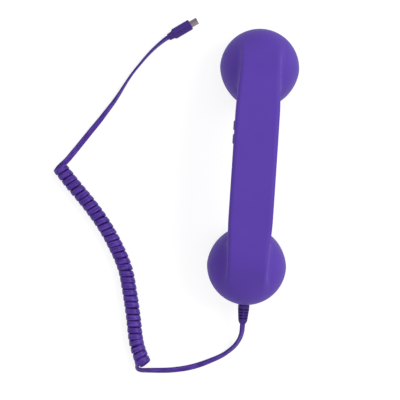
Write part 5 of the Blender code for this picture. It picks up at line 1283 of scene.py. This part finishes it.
# %% The grip
PLUG_WIDTH = 0.0088
PLUG_THICKNESS = 0.0056
PLUG_CORNER = 0.0023
PLUG_EDGE = 0.0007
PLUG_EDGE_STEPS = 8
PLUG_SHOULDER = 0.0012
PLUG_LENGTH = 0.0150
PLUG_NECK_LENGTH = 0.0042
PLUG_NECK_WIDTH = 0.0056
PLUG_NECK_THICKNESS = 0.0044
PLUG_NECK_CORNER = 0.0020
PLUG_NECK_SHARE = 0.72
PLUG_NECK_GROWTH = (1.06, 1.04, 1.0)
PLUG_NECK_EDGE_STEPS = 4
PLUG_SHOULDER_STEPS = 15
PLUG_POCKET_DEPTH = 0.0015
PLUG_SHELL_WIDTH = 0.00685
PLUG_SHELL_THICKNESS = 0.0018
PLUG_SHELL_WALL = 0.0003
PLUG_SHELL_CORNER = 0.0008
PLUG_SHELL_SHOWING = 0.0058

plug_place = Matrix.Translation(Vector(PLUG_START))
plug_place = plug_place @ Matrix.Rotation(PLUG_HEADING, 4, "Z") @ Matrix.Rotation(PLUG_TURN, 4, "X")
plug_end = PLUG_NECK_LENGTH + PLUG_LENGTH
neck_section = np.array([PLUG_NECK_WIDTH, PLUG_NECK_THICKNESS, PLUG_NECK_CORNER])
neck_end_section = neck_section * PLUG_NECK_GROWTH
grip_section = np.array([PLUG_WIDTH, PLUG_THICKNESS, PLUG_CORNER])
shrinking = np.array([2.0, 2.0, 1.0])

plug_rings = []
for sine, cosine in quarter_turns(PLUG_NECK_EDGE_STEPS):
    section = neck_section - shrinking * PLUG_EDGE / 2 * (1 - sine)
    plug_rings.append(bar_ring(PLUG_EDGE * (1 - cosine), *section))
neck_end = PLUG_NECK_LENGTH * PLUG_NECK_SHARE
for share in np.linspace(0.0, 1.0, PLUG_SHOULDER_STEPS)[1:]:
    section = neck_end_section + (grip_section - neck_end_section) * eased(share)
    plug_rings.append(bar_ring(neck_end + (PLUG_NECK_LENGTH + PLUG_SHOULDER - neck_end) * share, *section))
for sine, cosine in quarter_turns(PLUG_EDGE_STEPS):
    section = grip_section - shrinking * PLUG_EDGE * (1 - cosine)
    plug_rings.append(bar_ring(plug_end - PLUG_EDGE + PLUG_EDGE * sine, *section))
pocket_section = (PLUG_SHELL_WIDTH + 2 * GAP, PLUG_SHELL_THICKNESS + 2 * GAP, GAP)
pocket_ends = (plug_end - PLUG_POCKET_DEPTH, plug_end + CUT_MARGIN)
pocket = loft("pocket", [bar_ring(x, *pocket_section) for x in pocket_ends])
grip = carve(loft("plug_grip", plug_rings), [("DIFFERENCE", pocket)])
grip.transform(plug_place)
add_piece("plug_grip", grip, moulded_elastomer, "cord_jacket", "handset", "plug_body")

# %% The stamped shell
SHELL_BEND = 0.00035
SHELL_BEND_STEPS = 6
SHELL_BEND_TIGHTENING = 0.8
# The rounded edge of the shell's mouth: back from the tip and in from the outside, in thicknesses of sheet.
SHELL_LIP = ((0.4, 0.0), (0.0, 0.35), (0.0, 0.75), (0.3, 1.0))


def d_ring(x, inset):
    """The shell's D outline: a rectangle with two corners cut off, and every bend rounded."""
    half_width, half_thick = PLUG_SHELL_WIDTH / 2, PLUG_SHELL_THICKNESS / 2
    cut_width, cut_thick = half_width - PLUG_SHELL_CORNER, half_thick - PLUG_SHELL_CORNER
    corners = np.array(
        [
            (-cut_width, -half_thick), (cut_width, -half_thick), (half_width, -cut_thick),
            (half_width, half_thick), (-half_width, half_thick), (-half_width, -cut_thick),
        ]
    )
    bend = SHELL_BEND - inset * SHELL_BEND_TIGHTENING
    points = []
    for before, here, after in zip(np.roll(corners, 1, axis=0), corners, np.roll(corners, -1, axis=0)):
        back, on = unit(before - here), unit(after - here)
        half_angle = math.acos(float(np.dot(back, on))) / 2
        centre = here + unit(back + on) * (bend + inset) / math.sin(half_angle)
        normal_before, normal_after = np.array([-back[1], back[0]]), np.array([on[1], -on[0]])
        for share in np.linspace(0.0, 1.0, SHELL_BEND_STEPS):
            normal = unit(normal_before * (1 - share) + normal_after * share)
            points.append((x, *(centre + normal * bend)))
    return points


shell_start = plug_end - PLUG_POCKET_DEPTH + GAP
shell_tip = plug_end + PLUG_SHELL_SHOWING
sheet = PLUG_SHELL_WALL
lip = [(shell_tip - sheet * back, sheet * inwards) for back, inwards in SHELL_LIP]
shell_sections = [(shell_start, 0.0), *lip, (shell_start + sheet, sheet)]
nickel_shell = loft("plug_shell", [d_ring(x, inset) for x, inset in shell_sections], plug_place)
add_piece("stamped_shell", nickel_shell, plug_nickel, "plug_nickel", "handset", "plug_shell")

# %% [markdown]
# ## The cord's ends
# The boot is on the cord where it leaves the handset, and the plug's pieces are on its far end.

# %% [markdown]
# ## The parts inside
# The board, switches, speaker, microphone, ballast, screws and wires keep their CAD meshes. Each only gets
# its real finish.

# %% Finishes on the CAD nodes
inner_finishes = {
    zinc_plate: [
        "ballast_bar", "cover_screw_ear", "cover_screw_mouth", "board_screw_ear", "board_screw_mouth",
    ],
    plug_nickel: ["up_switch_frame", "down_switch_frame", "speaker_frame", "mic_capsule"],
    solder_mask: ["circuit_board"],
    black_plastic: ["controller_chip", "up_switch_plunger", "down_switch_plunger", "plug_tongue"],
    white_plastic: ["wire_connector"],
    foam_finish: ["ear_gasket"],
    formed_film: ["speaker_diaphragm"],
    dark_plate: ["speaker_magnet"],
    black_rubber: ["mic_boot"],
    wire_jacket: ["speaker_wire", "mic_wire"],
    cord_jacket: ["cord_core"],
}
for material, names in inner_finishes.items():
    for name in names:
        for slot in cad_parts[name].material_slots:
            slot.material = material
print("Nodes finished:", sum(len(names) for names in inner_finishes.values()))

# %% [markdown]
# ## Floor and light
# The photograph was taken on a white sweep under broad studio light. The floor is pale and matt and catches
# the object's soft shadow. Camera rays also see it glow a little, which lifts it to white without more
# light on the object. Metal and glass see the same white, so glossy and transmission rays are counted in.

# %% The floor
FLOOR_HALF_WIDTH = 4.0
FLOOR_GLOW = 0.78

floor_material = bpy.data.materials.new("matt_white_sweep")
tree = empty_tree(floor_material)
paper = add_node(tree, "ShaderNodeBsdfDiffuse", {"Color": linear("#E4E3E6")})
glow = add_node(tree, "ShaderNodeEmission", {"Color": linear("#FFFFFF"), "Strength": FLOOR_GLOW})
shaded_paper = add_node(tree, "ShaderNodeBsdfDiffuse", {"Color": linear("#A0A0A0")})
lifted = add_node(tree, "ShaderNodeAddShader", {0: shaded_paper, 1: glow})
rays = add_node(tree, "ShaderNodeLightPath").outputs
kinds = {kind: rays["Is " + kind + " Ray"] for kind in ("Camera", "Glossy", "Transmission")}
run_sums(tree, kinds, "any = Camera, MAXIMUM Glossy, MAXIMUM Transmission")
chosen = add_node(tree, "ShaderNodeMixShader", {0: kinds["any"], 1: paper, 2: lifted})
add_node(tree, "ShaderNodeOutputMaterial", {"Surface": chosen})

corners = [(x * FLOOR_HALF_WIDTH, y * FLOOR_HALF_WIDTH, 0.0) for x, y in ((-1, -1), (1, -1), (1, 1), (-1, 1))]
floor_mesh = bpy.data.meshes.new("floor")
floor_mesh.from_pydata(corners, [], [(0, 1, 2, 3)])
floor_mesh.materials.append(floor_material)
floor = new_object("floor", floor_mesh)
floor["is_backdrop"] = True

# %% The sky
# Reflections see the room round the white sweep: bright above and darker towards the horizon.
SKY_STRENGTH = 0.67
HORIZON_STRENGTH = 0.12
CEILING_STRENGTH = 0.80

world = bpy.data.worlds.new("studio")
bpy.context.scene.world = world
tree = empty_tree(world)
white = linear("#FFFFFF")
rays = add_node(tree, "ShaderNodeLightPath").outputs
direction = add_node(tree, "ShaderNodeTexCoord").outputs["Generated"]
split = add_node(tree, "ShaderNodeSeparateXYZ", {0: direction})
heights = {0: split.outputs[2], 1: 0.10, 2: 0.55, 3: HORIZON_STRENGTH, 4: CEILING_STRENGTH}
room = add_node(tree, "ShaderNodeMapRange", heights)
sky = add_node(tree, "ShaderNodeBackground", {"Color": white, "Strength": SKY_STRENGTH})
mirrored = add_node(tree, "ShaderNodeBackground", {"Color": white, "Strength": room})
backdrop = add_node(tree, "ShaderNodeBackground", {"Color": white, "Strength": 1.0})
lit = add_node(tree, "ShaderNodeMixShader", {0: rays["Is Glossy Ray"], 1: sky, 2: mirrored})
chosen = add_node(tree, "ShaderNodeMixShader", {0: rays["Is Camera Ray"], 1: lit, 2: backdrop})
add_node(tree, "ShaderNodeOutputWorld", {"Surface": chosen})

# %% One broad lamp
LAMP_DISTANCE = 1.6
LAMP_SIZE = 0.9
LAMP_HEADING = math.radians(20.0)
LAMP_HEIGHT = math.radians(50.0)
LAMP_SHARE = 0.36

level = math.cos(LAMP_HEIGHT)
lamp_way = Vector((level * math.cos(LAMP_HEADING), level * math.sin(LAMP_HEADING), math.sin(LAMP_HEIGHT)))
lamp_data = bpy.data.lights.new("soft_box", "AREA")
lamp_data.shape = "DISK"
lamp_data.size = LAMP_SIZE
# At this power a white level surface renders at the lamp's share of white.
lamp_data.energy = LAMP_SHARE * math.pi**2 * LAMP_DISTANCE**2 / math.sin(LAMP_HEIGHT)
lamp = new_object("soft_box", lamp_data)
lamp.location = lamp_way * LAMP_DISTANCE
lamp.rotation_euler = lamp_way.to_track_quat("Z", "Y").to_euler()
bpy.context.scene.view_settings.view_transform = "Standard"
print("Lamp:", round(lamp_data.energy, 1), "W")

# %% [markdown]
# ## The sizes, and the end
# The finished model's box is measured and printed, as the CAD model's was at the start.
# The finished model has to fill the same box as the CAD model.

# %% Sizes and finish
full_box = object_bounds()
sizes = {"cad": [list(corner) for corner in cad_box], "visual": [list(corner) for corner in full_box]}
print("Visual box, in mm:", [[round(v * 1000, 1) for v in corner] for corner in full_box])
